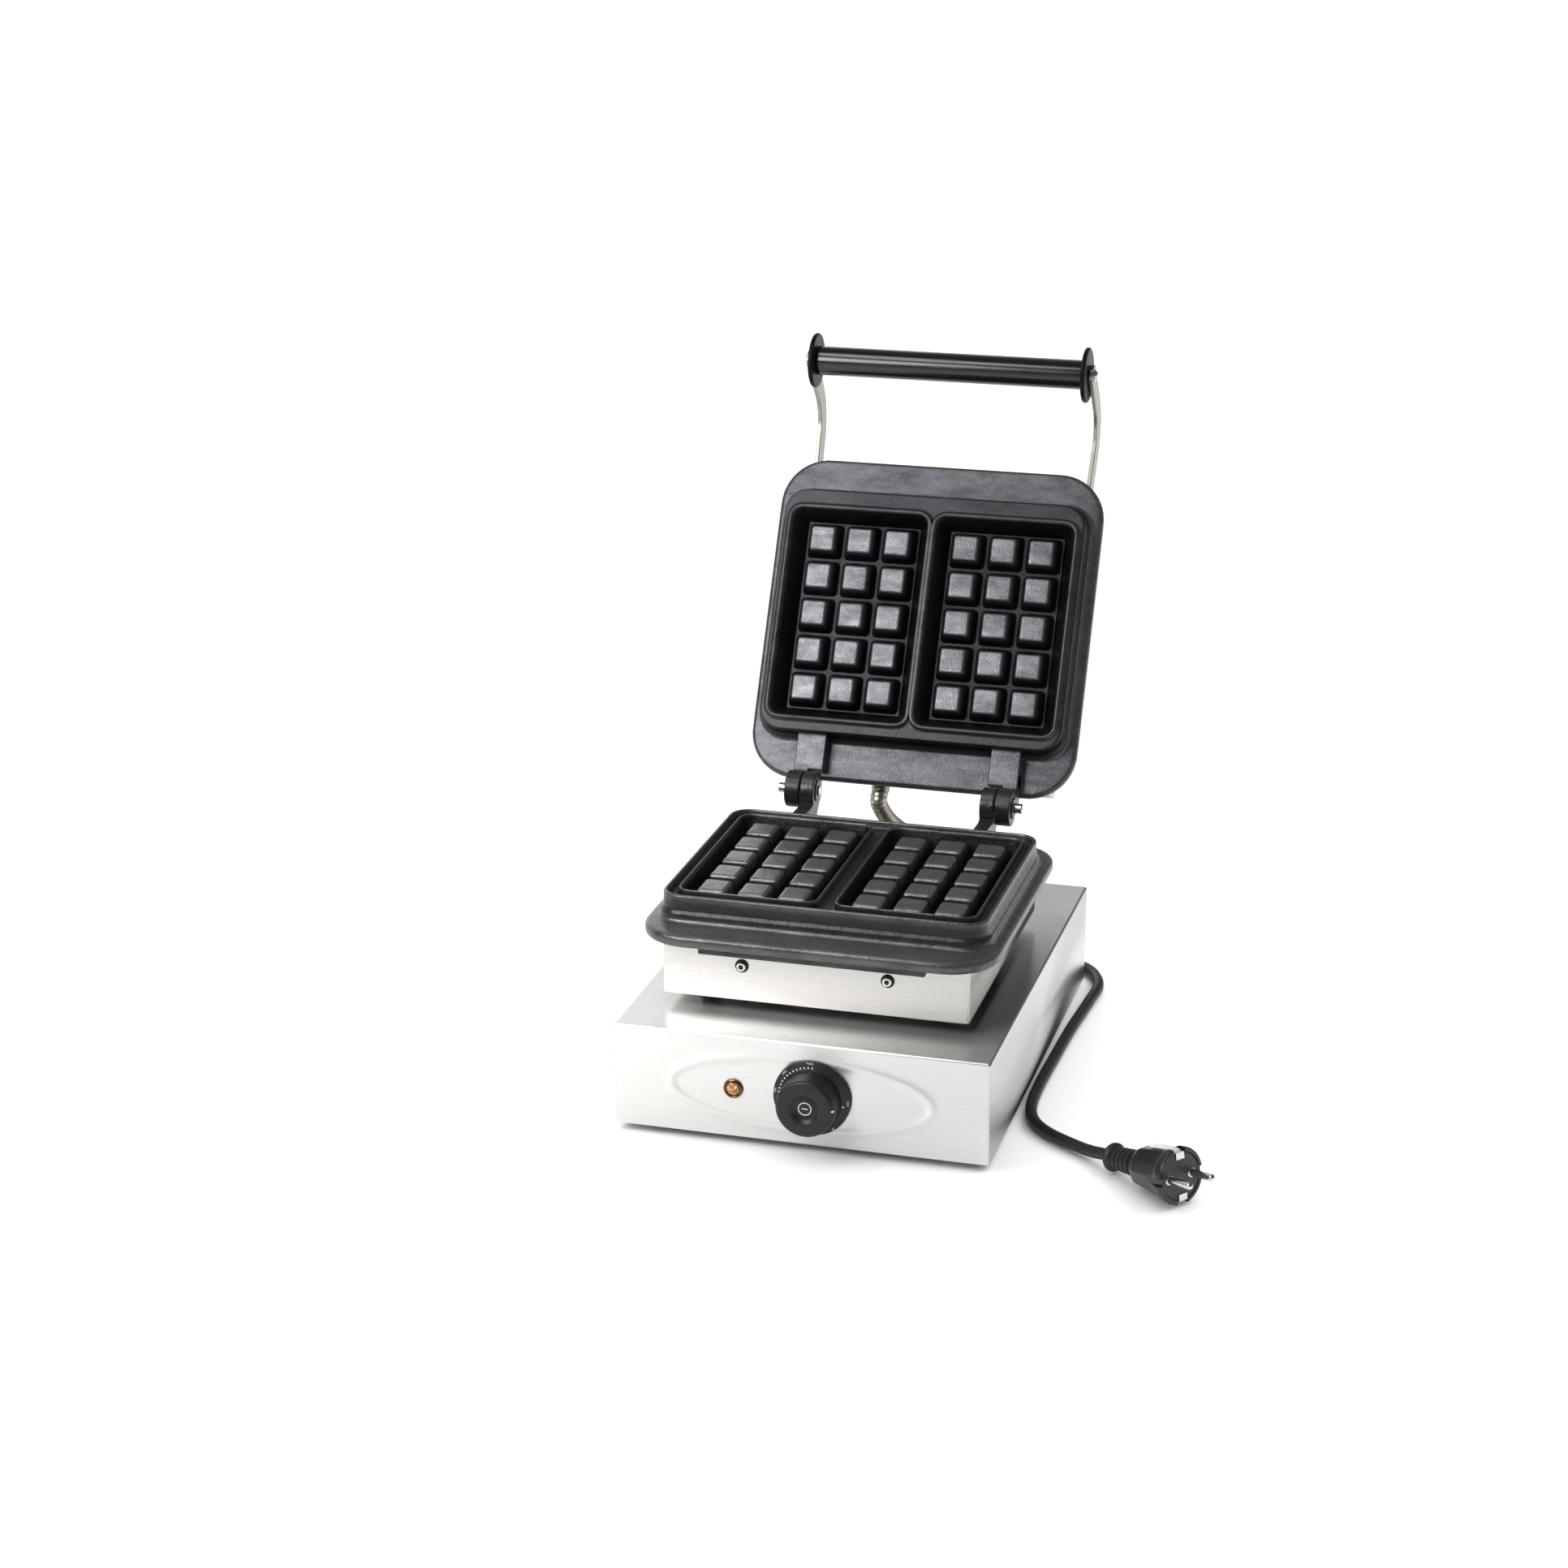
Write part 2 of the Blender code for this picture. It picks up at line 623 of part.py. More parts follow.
# ---------------------------------------------------------------- controls and inner parts
def add_thermostat():
    y = base_front + SHEET + 0.0008
    body = bmesh.new()
    box(body, KNOB_X - 0.016, KNOB_X + 0.016, y, y + 0.030, KNOB_Z - 0.015, KNOB_Z + 0.015)
    finish("thermostat_body", body, (0.75, 0.72, 0.65), 0.6, 0.0, None, False)
    knob = empty("thermostat_axis", (KNOB_X, base_front, KNOB_Z))
    shaft = [(0.0029, -0.0015), (0.0029, 0.0120)]
    finish("thermostat_shaft", turned(bmesh.new(), shaft, facing(0, 0, 0, (0, -1, 0)), 12),
           STEEL, 0.3, 1.0, knob)
    outward = facing(0, 0, 0, (0, -1, 0))
    profile = [
        (0.0034, 0.0125), (0.0034, 0.0012), (SKIRT_R, 0.0012), (SKIRT_R, 0.0030), (SKIRT_R - 0.0012, 0.0042),
        (KNOB_R + 0.0010, 0.0050), (KNOB_R, 0.0080), (KNOB_R - 0.0006, KNOB_OUT - 0.0012),
        (KNOB_R - 0.0020, KNOB_OUT), (0.0100, KNOB_OUT), (CAP_R + 0.0004, KNOB_OUT - 0.0016),
        (CAP_R + 0.0004, KNOB_OUT - 0.0030),
    ]
    finish("thermostat_knob", turned(bmesh.new(), profile, outward, 32), BLACK, 0.35, 0.0, knob)
    floor = KNOB_OUT - 0.0030 + GAP
    cap = [(CAP_R, floor), (CAP_R, floor + 0.0011), (CAP_R - 0.0012, floor + 0.0015)]
    finish("knob_cap", turned(bmesh.new(), cap, outward, 20), (0.05, 0.05, 0.055), 0.3, 0.0, knob)


def add_lamp():
    place = facing(LAMP_X, base_front, LAMP_Z, (0, -1, 0))
    bezel = [(0.0045, -0.016), (0.0052, -0.016), (0.0052, 0.0003), (0.0066, 0.0003), (0.0066, 0.0012),
             (0.0058, 0.0020), (0.0045, 0.0016)]
    finish("lamp_bezel", turned_tube(bmesh.new(), bezel, place, 20), (0.3, 0.2, 0.1), 0.3, 0.6)
    lens = [(0.0041, -0.012), (0.0041, 0.0016), (0.0036, 0.0027), (0.0022, 0.0034), (0.0008, 0.0036)]
    finish("lamp_lens", turned(bmesh.new(), lens, place, 20), (0.75, 0.4, 0.12), 0.2)


def add_inner_parts():
    mesh = bmesh.new()
    z = FOOT_HEIGHT + 0.0005 + SHEET + GAP
    box(mesh, 0.030, 0.078, base_rear - 0.075, base_rear - 0.055, z, z + 0.018)
    obj = finish("terminal_block", mesh, (0.85, 0.83, 0.78), 0.4, 0.0, None, False)
    wells = bmesh.new()
    for i in range(3):
        x = 0.040 + i * 0.014
        turned(wells, [(0.003, 0), (0.003, 0.012)], Matrix.Translation((x, base_rear - 0.065, z + 0.010)), 10)
    cut(obj, wells)
    limiter = [(0.016, z), (0.016, z + 0.010), (0.012, z + 0.012), (0.012, z + 0.022)]
    finish("safety_limiter",
           turned(bmesh.new(), limiter, Matrix.Translation((-0.060, BASE_Y + 0.030, 0)), 20),
           (0.2, 0.18, 0.16), 0.5)


# ---------------------------------------------------------------- handle
def handle_bar(side):
    """A flat bar along the cover, bent down to the grip and spread a little towards it."""
    half = BAR_WIDTH / 2
    bend_y = BASE_Y + BAR_BEND_Y
    bend_z = BAR_Z - BAR_BEND_R
    front = BASE_Y + HOUSING_FRONT
    grip_y = BASE_Y + HANDLE_Y
    bend_steps = 7
    end_steps = 4
    stations = [(BASE_Y + BAR_REAR, BAR_Z, 0.0, half), (front, BAR_Z, 0.0, half)]
    for i in range(bend_steps + 1):
        angle = BAR_BEND * i / bend_steps
        stations.append((bend_y - BAR_BEND_R * sin(angle), bend_z + BAR_BEND_R * cos(angle), angle, half))
    for i in range(end_steps):
        round_off = pi / 2 * i / end_steps
        reach = half * sin(round_off)
        stations.append((grip_y - reach * cos(BAR_BEND), HANDLE_Z - reach * sin(BAR_BEND), BAR_BEND,
                         half * cos(round_off)))
    rings = []
    for y, z, angle, width in stations:
        spread = BAR_SPLAY * (1 - min(1, max(0, (front - y) / (front - grip_y))))
        inner = side * (bar_x - spread)
        outer = side * (bar_x + BAR_THICK - spread)
        across = Vector((0, -sin(angle), cos(angle))) * width
        rings.append([Vector((x, y, z)) + across * up
                      for x, up in ((inner, 1), (outer, 1), (outer, -1), (inner, -1))])
    return skin(bmesh.new(), rings)


def add_handle(lid):
    gy = BASE_Y + HANDLE_Y
    grip = [(0.0046, -GRIP_HALF), (GRIP_R, -GRIP_HALF), (GRIP_R, GRIP_HALF), (0.0046, GRIP_HALF)]
    finish("handle_grip", turned_tube(bmesh.new(), grip, facing(0, gy, HANDLE_Z, (1, 0, 0)), 24),
           BLACK, 0.15, 0.0, lid)
    reach = bar_x - GAP
    rod = [(0.0035, -reach), (0.0035, reach)]
    finish("handle_rod", turned(bmesh.new(), rod, facing(0, gy, HANDLE_Z, (1, 0, 0)), 12), STEEL, 0.3, 1.0, lid)
    disc = [(0.0041, GAP), (DISC_R - 0.0008, GAP), (DISC_R, GAP + 0.0008), (DISC_R, DISC_THICK - 0.0008),
            (DISC_R - 0.0008, DISC_THICK), (0.0041, DISC_THICK)]
    screw = [(0.0022, -0.0024), (0.0022, 0.0002), (0.0037, 0.0002), (0.0037, 0.0012), (0.0028, 0.0024)]
    stub = [(0.0020, -0.0060), (0.0020, 0.0002), (0.0040, 0.0002), (0.0040, 0.0010), (0.0028, 0.0020)]
    bar_rear_x = bar_x - BAR_SPLAY
    for name, sx in (("left", -1), ("right", 1)):
        finish(f"handle_disc_{name}",
               turned_tube(bmesh.new(), disc, facing(sx * GRIP_HALF, gy, HANDLE_Z, (sx, 0, 0)), 28),
               BLACK, 0.3, 0.0, lid)
        bar = finish(f"handle_bar_{name}", handle_bar(sx), STEEL, 0.35, 1.0, lid)
        holes = bmesh.new()
        turned(holes, [(0.0026, -0.004), (0.0026, 0.008)], facing(sx * bar_x, gy, HANDLE_Z, (sx, 0, 0)), 12)
        for y in BAR_SCREW_Y:
            turned(holes, [(0.0026, -0.004), (0.0026, 0.008)],
                   facing(sx * bar_rear_x, BASE_Y + y, BAR_Z, (sx, 0, 0)), 12)
        cut(bar, holes)
        outer = sx * (bar_x + BAR_THICK)
        finish(f"handle_screw_{name}", turned(bmesh.new(), screw, facing(outer, gy, HANDLE_Z, (sx, 0, 0)), 12),
               STEEL, 0.3, 1.0, lid)
        outer = sx * (bar_rear_x + BAR_THICK)
        for end, y in zip(("front", "rear"), BAR_SCREW_Y):
            finish(f"bar_screw_{end}_{name}",
                   turned(bmesh.new(), stub, facing(outer, BASE_Y + y, BAR_Z, (sx, 0, 0)), 12),
                   STEEL, 0.3, 1.0, lid)


# ---------------------------------------------------------------- fasteners and pins
def add_pins_and_screws():
    pin = [(PIN_R, -0.0018), (PIN_R, PIN_REACH - 0.0007), (PIN_R - 0.0006, PIN_REACH)]
    front = BASE_Y + HOUSING_FRONT
    screw = [(0.0025, -0.0060), (0.0025, 0.0002), (0.0043, 0.0002), (0.0043, 0.0016), (0.0032, 0.0030)]
    for name, sx in (("left", -1), ("right", 1)):
        finish(f"hinge_pin_{name}",
               turned(bmesh.new(), pin, facing(sx * ARM_IN, hinge_y, HINGE_Z, (sx, 0, 0)), 16),
               STEEL, 0.25, 1.0)
        place = facing(sx * HOUSING_SCREW_X, front, HOUSING_SCREW_Z, (0, -1, 0))
        obj = finish(f"housing_screw_{name}",
                     turned(bmesh.new(), screw, place, 16), STEEL, 0.3, 1.0)
        socket = turned(bmesh.new(), [(0.0016, 0.0012), (0.0016, 0.0040)], place, 6)
        cut(obj, socket)


# ---------------------------------------------------------------- hose between base and lid
def add_glands(lid):
    nut = [(0.0064, -0.006), (0.0064, GAP), (0.0095, GAP), (0.0095, 0.0035), (0.0066, 0.0045),
           (0.0066, GLAND_LENGTH)]
    finish("hose_gland_base",
           turned(bmesh.new(), nut, facing(HOSE_X, base_rear, HOSE_BASE_Z, (0, 1, 0)), 18), STEEL, 0.3, 1.0)
    finish("hose_gland_lid",
           turned(bmesh.new(), nut, facing(HOSE_X, BASE_Y + HOUSING_REAR, HOSE_LID_Z, (0, 1, 0)), 18),
           STEEL, 0.3, 1.0, lid)
    relief = [(0.0064, -0.008), (0.0064, GAP), (0.0110, GAP), (0.0110, 0.004), (0.0085, 0.006),
              (0.0070, 0.012), (0.0056, 0.032)]
    finish("cord_strain_relief",
           turned(bmesh.new(), relief, facing(CORD_EXIT_X, base_rear, CORD_EXIT_Z, (0, 1, 0)), 18), BLACK, 0.5)


def hose_route():
    """From the base's rear, back and up in a bow, to the rear of the open lid."""
    start = base_rear + GLAND_LENGTH + GAP
    end = opened(HOSE_X, BASE_Y + HOUSING_REAR + GLAND_LENGTH + GAP, HOSE_LID_Z)
    before = opened(HOSE_X, BASE_Y + HOUSING_REAR + GLAND_LENGTH + 0.009, HOSE_LID_Z)
    route = [
        (HOSE_X, start, HOSE_BASE_Z),
        (HOSE_X, start + 0.009, HOSE_BASE_Z),
        (HOSE_X, base_rear + 0.037, HOSE_BASE_Z + 0.008),
        (HOSE_X, base_rear + 0.047, HOSE_BASE_Z + 0.025),
        (HOSE_X, base_rear + 0.038, HOSE_BASE_Z + 0.043),
        (HOSE_X, base_rear + 0.014, HOSE_BASE_Z + 0.056),
        (HOSE_X, base_rear - 0.009, HOSE_BASE_Z + 0.071),
        before,
        end,
    ]
    return [Vector(point) + Vector((bow, 0, 0)) for point, bow in zip(route, HOSE_BOW)]


def add_hose():
    tube("wire_hose", smooth_route(hose_route(), 0.014), HOSE_R, (0.6, 0.58, 0.55), 0.35, 1.0)


# ---------------------------------------------------------------- mains cord
def cord_start_route():
    """Straight out of the strain relief, then down a little to the coil's top turn."""
    top = CORD_R + GAP + COIL_PITCH * COIL_TURNS
    y = base_rear + 0.032 + GAP
    return [
        (CORD_EXIT_X, y, CORD_EXIT_Z),
        (CORD_EXIT_X, y + 0.016, CORD_EXIT_Z - 0.0010),
        (CORD_EXIT_X, BASE_Y + COIL_Y - 0.016, top + 0.0010),
        (CORD_EXIT_X, BASE_Y + COIL_Y - 0.006, top),
    ]


def cord_end_route():
    """From the coil round the rear corner, along the right side and out to the plug."""
    z = CORD_R + GAP
    start = COIL_X + 0.001
    return [
        (start, BASE_Y + COIL_Y - COIL_R, z),
        (start + 0.014, BASE_Y + COIL_Y - COIL_R, z),
        (0.0600, BASE_Y + 0.1990, z),
        (0.0920, BASE_Y + 0.1965, z),
        (0.1225, BASE_Y + 0.1835, z),
        (0.1370, BASE_Y + 0.1560, z),
        (0.1365, BASE_Y + 0.1200, z),
        (0.1335, BASE_Y + 0.0700, z),
        (0.1320, BASE_Y + 0.0200, z),
        (0.1310, BASE_Y - 0.0300, z),
        (0.1325, BASE_Y - 0.0660, z),
        (0.1390, BASE_Y - 0.0890, z),
        (0.1530, BASE_Y - 0.1060, z),
        (0.1800, BASE_Y - 0.1252, z + 0.0010),
        tuple(plug_matrix() @ Vector((-0.0080, 0, 0))),
        tuple(plug_matrix() @ Vector((-GAP, 0, 0))),
    ]


def add_cord():
    tube("mains_cord_start", smooth_route(cord_start_route(), 0.018), CORD_R, BLACK, 0.55)
    tube("mains_cord_end", smooth_route(cord_end_route(), 0.018), CORD_R, BLACK, 0.55)
    height = COIL_PITCH * COIL_TURNS + CORD_R
    low = 0.0004
    outline = [
        (COIL_R - CORD_R, low), (COIL_R + CORD_R, low),
        (COIL_R + CORD_R, height + CORD_R), (COIL_R - CORD_R, height + CORD_R),
    ]
    coil = finish("mains_cord_coil",
                  turned_tube(bmesh.new(), outline, Matrix.Translation((COIL_X, BASE_Y + COIL_Y, 0)), 24), BLACK, 0.55)
    clear = bmesh.new()
    r = CORD_R + GAP
    lead_y = BASE_Y + COIL_Y - COIL_R
    box(clear, COIL_X - GAP, COIL_X + 0.040, lead_y - 0.02, lead_y + r + 0.001, -0.001, CORD_R * 2 + 2 * GAP)
    top = height - CORD_R
    box(clear, CORD_EXIT_X - r - 0.001, CORD_EXIT_X + 0.02, BASE_Y + COIL_Y - 0.05, BASE_Y + COIL_Y - 0.0055,
        top - GAP, height + 0.02)
    cut(coil, clear)


# ---------------------------------------------------------------- plug
def plug_matrix():
    """The plug's frame: its cord end at the origin, its pins along +X, a little nose up."""
    place = Matrix.Translation((PLUG_X, BASE_Y + PLUG_Y, PLUG_Z))
    return place @ Matrix.Rotation(PLUG_YAW, 4, "Z") @ Matrix.Rotation(-PLUG_TILT, 4, "Y")


def add_plug():
    frame = plug_matrix()
    along = frame @ facing(0, 0, 0, (1, 0, 0))
    relief = [(0.0052, 0.0), (0.0090, 0.0015), (0.0094, 0.0050), (0.0072, 0.0080), (0.0078, 0.0200), (0.0084, 0.0262)]
    finish("plug_strain_relief", turned(bmesh.new(), relief, along, 18), BLACK, 0.5)
    start = PLUG_BODY_START
    body = [(0.0105, start), (0.0136, start + 0.0060), (0.0150, start + 0.0150), (0.0175, start + 0.0300),
            (PLUG_R, start + 0.0374), (PLUG_R - 0.0006, start + 0.0380)]
    obj = finish("plug_body", turned(bmesh.new(), body, along, 28), BLACK, 0.4)
    face = start + PLUG_BODY_LENGTH
    cuts = bmesh.new()
    for sy in (-1, 1):
        turned(cuts, [(0.0029, face - 0.006), (0.0029, face + 0.002)],
               frame @ facing(0, sy * PLUG_PIN_Y, 0, (1, 0, 0)), 12)
    for sz in (-1, 1):
        z0, z1 = sorted((sz * (PLUG_R - 0.0038), sz * (PLUG_R + 0.003)))
        slot = box(bmesh.new(), face - 0.026, face + 0.002, -0.0042, 0.0042, z0, z1)
        slot.transform(frame)
        cut(obj, slot)
    cut(obj, cuts)
    for name, sy in (("left", 1), ("right", -1)):
        pin = [(0.0024, face - 0.0055), (0.0024, face + 0.0180), (0.0014, face + 0.0192)]
        finish(f"plug_pin_{name}",
               turned(bmesh.new(), pin, frame @ facing(0, sy * PLUG_PIN_Y, 0, (1, 0, 0)), 14), STEEL, 0.2, 1.0)
    for name, sz in (("top", 1), ("bottom", -1)):
        z0, z1 = sorted((sz * (PLUG_R - 0.0034), sz * (PLUG_R - 0.0024)))
        clip = box(bmesh.new(), face - 0.022, face - 0.001, -0.0036, 0.0036, z0, z1)
        clip.transform(frame)
        finish(f"plug_earth_clip_{name}", clip, STEEL, 0.25, 1.0, None, False)


# ---------------------------------------------------------------- assembly
def main():
    clear_scene()
    lid = empty("lid_axis", (0, 0, 0))
    lid.matrix_world = (
        Matrix.Translation((0, hinge_y, HINGE_Z))
        @ Matrix.Rotation(-OPEN_ANGLE, 4, "X")
        @ Matrix.Translation((0, -hinge_y, -HINGE_Z))
    )
    add_base_housing()
    add_base_bottom_plate()
    add_feet()
    add_standoffs()
    add_wire_duct()
    add_lower_housing()
    add_lower_plate()
    add_upper_cover(lid)
    add_upper_plate(lid)
    add_heating(lid)
    add_thermostat()
    add_lamp()
    add_inner_parts()
    add_handle(lid)
    add_pins_and_screws()
    add_glands(lid)
    add_hose()
    add_cord()
    add_plug()


main()
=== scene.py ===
from math import atan2, ceil, copysign, cos, exp, hypot, pi, radians, sin, sqrt

import bmesh
import bpy
from mathutils import Matrix, Vector


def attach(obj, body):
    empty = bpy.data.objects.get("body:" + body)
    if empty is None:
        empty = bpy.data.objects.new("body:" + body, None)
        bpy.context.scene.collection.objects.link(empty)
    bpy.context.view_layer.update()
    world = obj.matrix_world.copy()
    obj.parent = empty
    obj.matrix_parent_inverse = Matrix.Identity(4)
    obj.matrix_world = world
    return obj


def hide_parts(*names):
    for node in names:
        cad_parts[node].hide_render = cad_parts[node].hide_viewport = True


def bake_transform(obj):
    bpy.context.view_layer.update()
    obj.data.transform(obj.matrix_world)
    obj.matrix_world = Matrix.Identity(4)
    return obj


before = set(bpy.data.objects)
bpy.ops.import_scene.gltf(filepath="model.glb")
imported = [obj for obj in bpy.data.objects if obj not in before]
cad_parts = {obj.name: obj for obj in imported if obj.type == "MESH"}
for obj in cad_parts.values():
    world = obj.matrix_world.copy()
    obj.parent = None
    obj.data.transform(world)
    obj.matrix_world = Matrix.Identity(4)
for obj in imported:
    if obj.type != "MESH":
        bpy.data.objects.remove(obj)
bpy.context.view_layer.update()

# ---------------- sizes, repeated from the CAD part
BASE_Y = -0.0463
BASE_X = 0.125
BASE_FRONT = BASE_Y - 0.165
BASE_REAR = BASE_Y + 0.165
BASE_BOTTOM = 0.005
BASE_TOP = 0.075
HOUSING_X = 0.1025
HOUSING_FRONT = BASE_Y - 0.129
HOUSING_REAR = BASE_Y + 0.084
HOUSING_Z = 0.0846
HOUSING_SCREW_X = 0.0487
HOUSING_SCREW_Z = 0.1092
FLANGE_UNDER = 0.123
MATING_Z = 0.1487
UPPER_RIM_Z = 0.1493
UPPER_BACK = 0.1779
COVER_X = 0.0992
COVER_TOP = 0.2150
HINGE_Y = BASE_Y + 0.102
HINGE_Z = 0.152
KNUCKLE_IN = 0.0600
KNUCKLE_OUT = 0.0815
OPEN_ANGLE = radians(117.5)
HANDLE_Y = BASE_Y - 0.2113
HANDLE_Z = 0.1475
KNOB_X = 0.0088
KNOB_Z = 0.039
LAMP_X = -0.0442
LAMP_Z = 0.0386
OVAL_Z = 0.0390
HOSE_X = -0.0245
HOSE_LOW_Z = 0.045
HOSE_HIGH_Z = 0.195
CORD_R = 0.004
CORD_EXIT_X = 0.054
CORD_EXIT_Z = 0.042
SLEEVE = 0.032
COIL_X = 0.014
COIL_Y = BASE_Y + 0.240
COIL_R = 0.040
COIL_TURNS = 3.75
COIL_PITCH = 0.0082
GAP = 0.0003
GLAND = 0.008

LID = (
    Matrix.Translation((0, HINGE_Y, HINGE_Z))
    @ Matrix.Rotation(-OPEN_ANGLE, 4, "X")
    @ Matrix.Translation((0, -HINGE_Y, -HINGE_Z))
)
PLUG = (
    Matrix.Translation((0.1985, BASE_Y - 0.1392, 0.0095))
    @ Matrix.Rotation(radians(-36.9), 4, "Z")
    @ Matrix.Rotation(radians(-9.0), 4, "Y")
)
NOWHERE = Matrix.Identity(4)


def added(name, data):
    """A new object in the scene."""
    obj = bpy.data.objects.new(name, data)
    bpy.context.scene.collection.objects.link(obj)
    return obj


def aim(obj, direction):
    """Turns a camera or a light to look along a direction."""
    obj.rotation_euler = direction.to_track_quat("-Z", "Y").to_euler()


# ---------------- camera
def add_camera():
    azimuth = radians(15.569)
    elevation = radians(18.850)
    distance = 2.1982
    target = Vector((-0.0563, BASE_Y, 0.1908))
    back = Vector((sin(azimuth) * cos(elevation), -cos(azimuth) * cos(elevation), sin(elevation)))
    camera = added("camera", bpy.data.cameras.new("camera"))
    camera.data.sensor_width = 36
    camera.data.lens = 74.43
    camera.data.clip_start = 0.05
    camera.location = target + back * distance
    aim(camera, -back)
    bpy.context.scene.camera = camera


add_camera()


# ---------------- materials
class Surface:
    """A material on the way to its looks."""

    def __init__(self, name):
        self.material = bpy.data.materials.new(name)
        self.material.use_nodes = True
        self.nodes = self.material.node_tree.nodes
        self.links = self.material.node_tree.links
        self.shader = self.nodes["Principled BSDF"]

    def texture(self, kind, scale, stretch=(1, 1, 1), seed=(0, 0, 0)):
        """A 3D texture in the piece's own coordinates, in metres."""
        place = self.nodes.new("ShaderNodeTexCoord")
        mapping = self.nodes.new("ShaderNodeMapping")
        mapping.inputs["Scale"].default_value = stretch
        mapping.inputs["Location"].default_value = seed
        self.links.new(place.outputs["Object"], mapping.inputs["Vector"])
        node = self.nodes.new(kind)
        node.inputs["Scale"].default_value = scale
        self.links.new(mapping.outputs["Vector"], node.inputs["Vector"])
        return node

    def noise(self, scale, stretch=(1, 1, 1), detail=3.0, roughness=0.5, seed=(0, 0, 0)):
        node = self.texture("ShaderNodeTexNoise", scale, stretch, seed)
        node.inputs["Detail"].default_value = detail
        node.inputs["Roughness"].default_value = roughness
        return node.outputs["Fac"]

    def cells(self, scale):
        return self.texture("ShaderNodeTexVoronoi", scale).outputs["Distance"]

    def ramp(self, source, *stops):
        """A colour ramp from (position, colour or grey) stops."""
        node = self.nodes.new("ShaderNodeValToRGB")
        elements = node.color_ramp.elements
        while len(elements) < len(stops):
            elements.new(0.5)
        for element, (position, color) in zip(elements, stops):
            element.position = position
            element.color = (*color, 1) if isinstance(color, tuple) else (color, color, color, 1)
        self.links.new(source, node.inputs["Fac"])
        return node.outputs["Color"]

    def set(self, name, value):
        """Sets one of the shader's sockets, or links a texture to it."""
        socket = self.shader.inputs[name]
        if isinstance(value, bpy.types.NodeSocket):
            self.links.new(value, socket)
        else:
            socket.default_value = value

    def bump(self, *layers):
        """Chains (height, distance in metres, strength) bumps into the shader's normal."""
        last = None
        for height, distance, strength in layers:
            node = self.nodes.new("ShaderNodeBump")
            node.inputs["Distance"].default_value = distance
            node.inputs["Strength"].default_value = strength
            self.links.new(height, node.inputs["Height"])
            if last is not None:
                self.links.new(last, node.inputs["Normal"])
            last = node.outputs["Normal"]
        self.set("Normal", last)
        return self.material


def dimmed(color, share):
    return tuple(c * share for c in color)


def steel(name, color, rough, grain, depth=0.00004, smudge=0.05, brushed=True):
    """Sheet or bar steel: grain is the stretch that draws noise out along the brushing."""
    made = Surface(name)
    fine = made.noise(1.0, grain, 4.0, 0.65)
    broad = made.noise(9.0, (1, 1, 1), 3.0, 0.55, (0.3, 0.1, 0.7))
    streak = made.noise(0.2, grain, 2.0, 0.5, (2, 5, 1))
    made.set("Base Color", made.ramp(streak, (0.3, dimmed(color, 1 - smudge)), (0.7, color)))
    mix = made.nodes.new("ShaderNodeMath")
    mix.operation = "MULTIPLY_ADD"
    made.links.new(broad, mix.inputs[0])
    mix.inputs[1].default_value = 0.35
    made.links.new(fine, mix.inputs[2])
    made.set("Roughness", made.ramp(mix.outputs[0], (0.35, rough - 0.05), (0.95, rough + 0.07)))
    made.set("Metallic", 1.0)
    if brushed:
        tangent = made.nodes.new("ShaderNodeTangent")
        tangent.direction_type = "RADIAL"
        tangent.axis = "X"
        made.set("Tangent", tangent.outputs["Tangent"])
        made.set("Anisotropic", 0.85)
    return made.bump((fine, depth, 0.5), (streak, depth, 0.3))


def cast_iron(name, dark, light, rough, worn, worn_rough, gleam, haze, wavy):
    """Seasoned cast iron: orange-peel grain, wiped streaks and pits; where the mesh's attribute is high it
    turns to the lighter worn colour and a stronger gloss, for worn block tops and for painted highlight and
    sheen.
    """
    made = Surface(name)
    peel = made.noise(950.0, (1, 1, 1), 3.0, 0.6)
    wave = made.noise(190.0, (1, 1, 1), 3.0, 0.6, (1, 2, 3))
    cloud = made.noise(24.0, (1, 1, 1), 5.0, 0.65, (4, 1, 2))
    wiped = made.noise(46.0, (0.7, 2.2, 2.2), 6.0, 0.72, (7, 1, 4))
    wear_and_painted_light = made.nodes.new("ShaderNodeAttribute")
    wear_and_painted_light.attribute_name = "wear_and_painted_light"
    # Each second ramp is the worn look, used also as painted highlight and sheen where the attribute is set
    # by place.
    for socket, fresh, rubbed_and_lit in (
        ("Base Color", (cloud, (0.32, dark), (0.72, light)),
         (wiped, (0.30, dimmed(worn, 0.75)), (0.70, worn))),
        ("Roughness", (wiped, (0.30, rough - 0.08), (0.72, rough + 0.16)),
         (wave, (0.3, worn_rough - 0.04), (0.7, worn_rough + 0.08))),
        ("Specular IOR Level", (cloud, (0.3, gleam * 0.13), (0.7, gleam * 0.24)),
         (wiped, (0.36, gleam * 0.50), (0.62, gleam * 1.32))),
    ):
        mix = made.nodes.new("ShaderNodeMix")
        mix.data_type = "RGBA"
        made.links.new(wear_and_painted_light.outputs["Fac"], mix.inputs["Factor"])
        made.links.new(made.ramp(*fresh), mix.inputs["A"])
        made.links.new(made.ramp(*rubbed_and_lit), mix.inputs["B"])
        made.set(socket, mix.outputs["Result"])
    made.set("Specular Tint", (*haze, 1))
    shallow = made.ramp(made.cells(420.0), (0.0, 0.0), (0.28, 1.0))
    return made.bump((peel, 0.00018, 0.8), (wave, 0.00070, wavy), (shallow, 0.00006, 0.2))


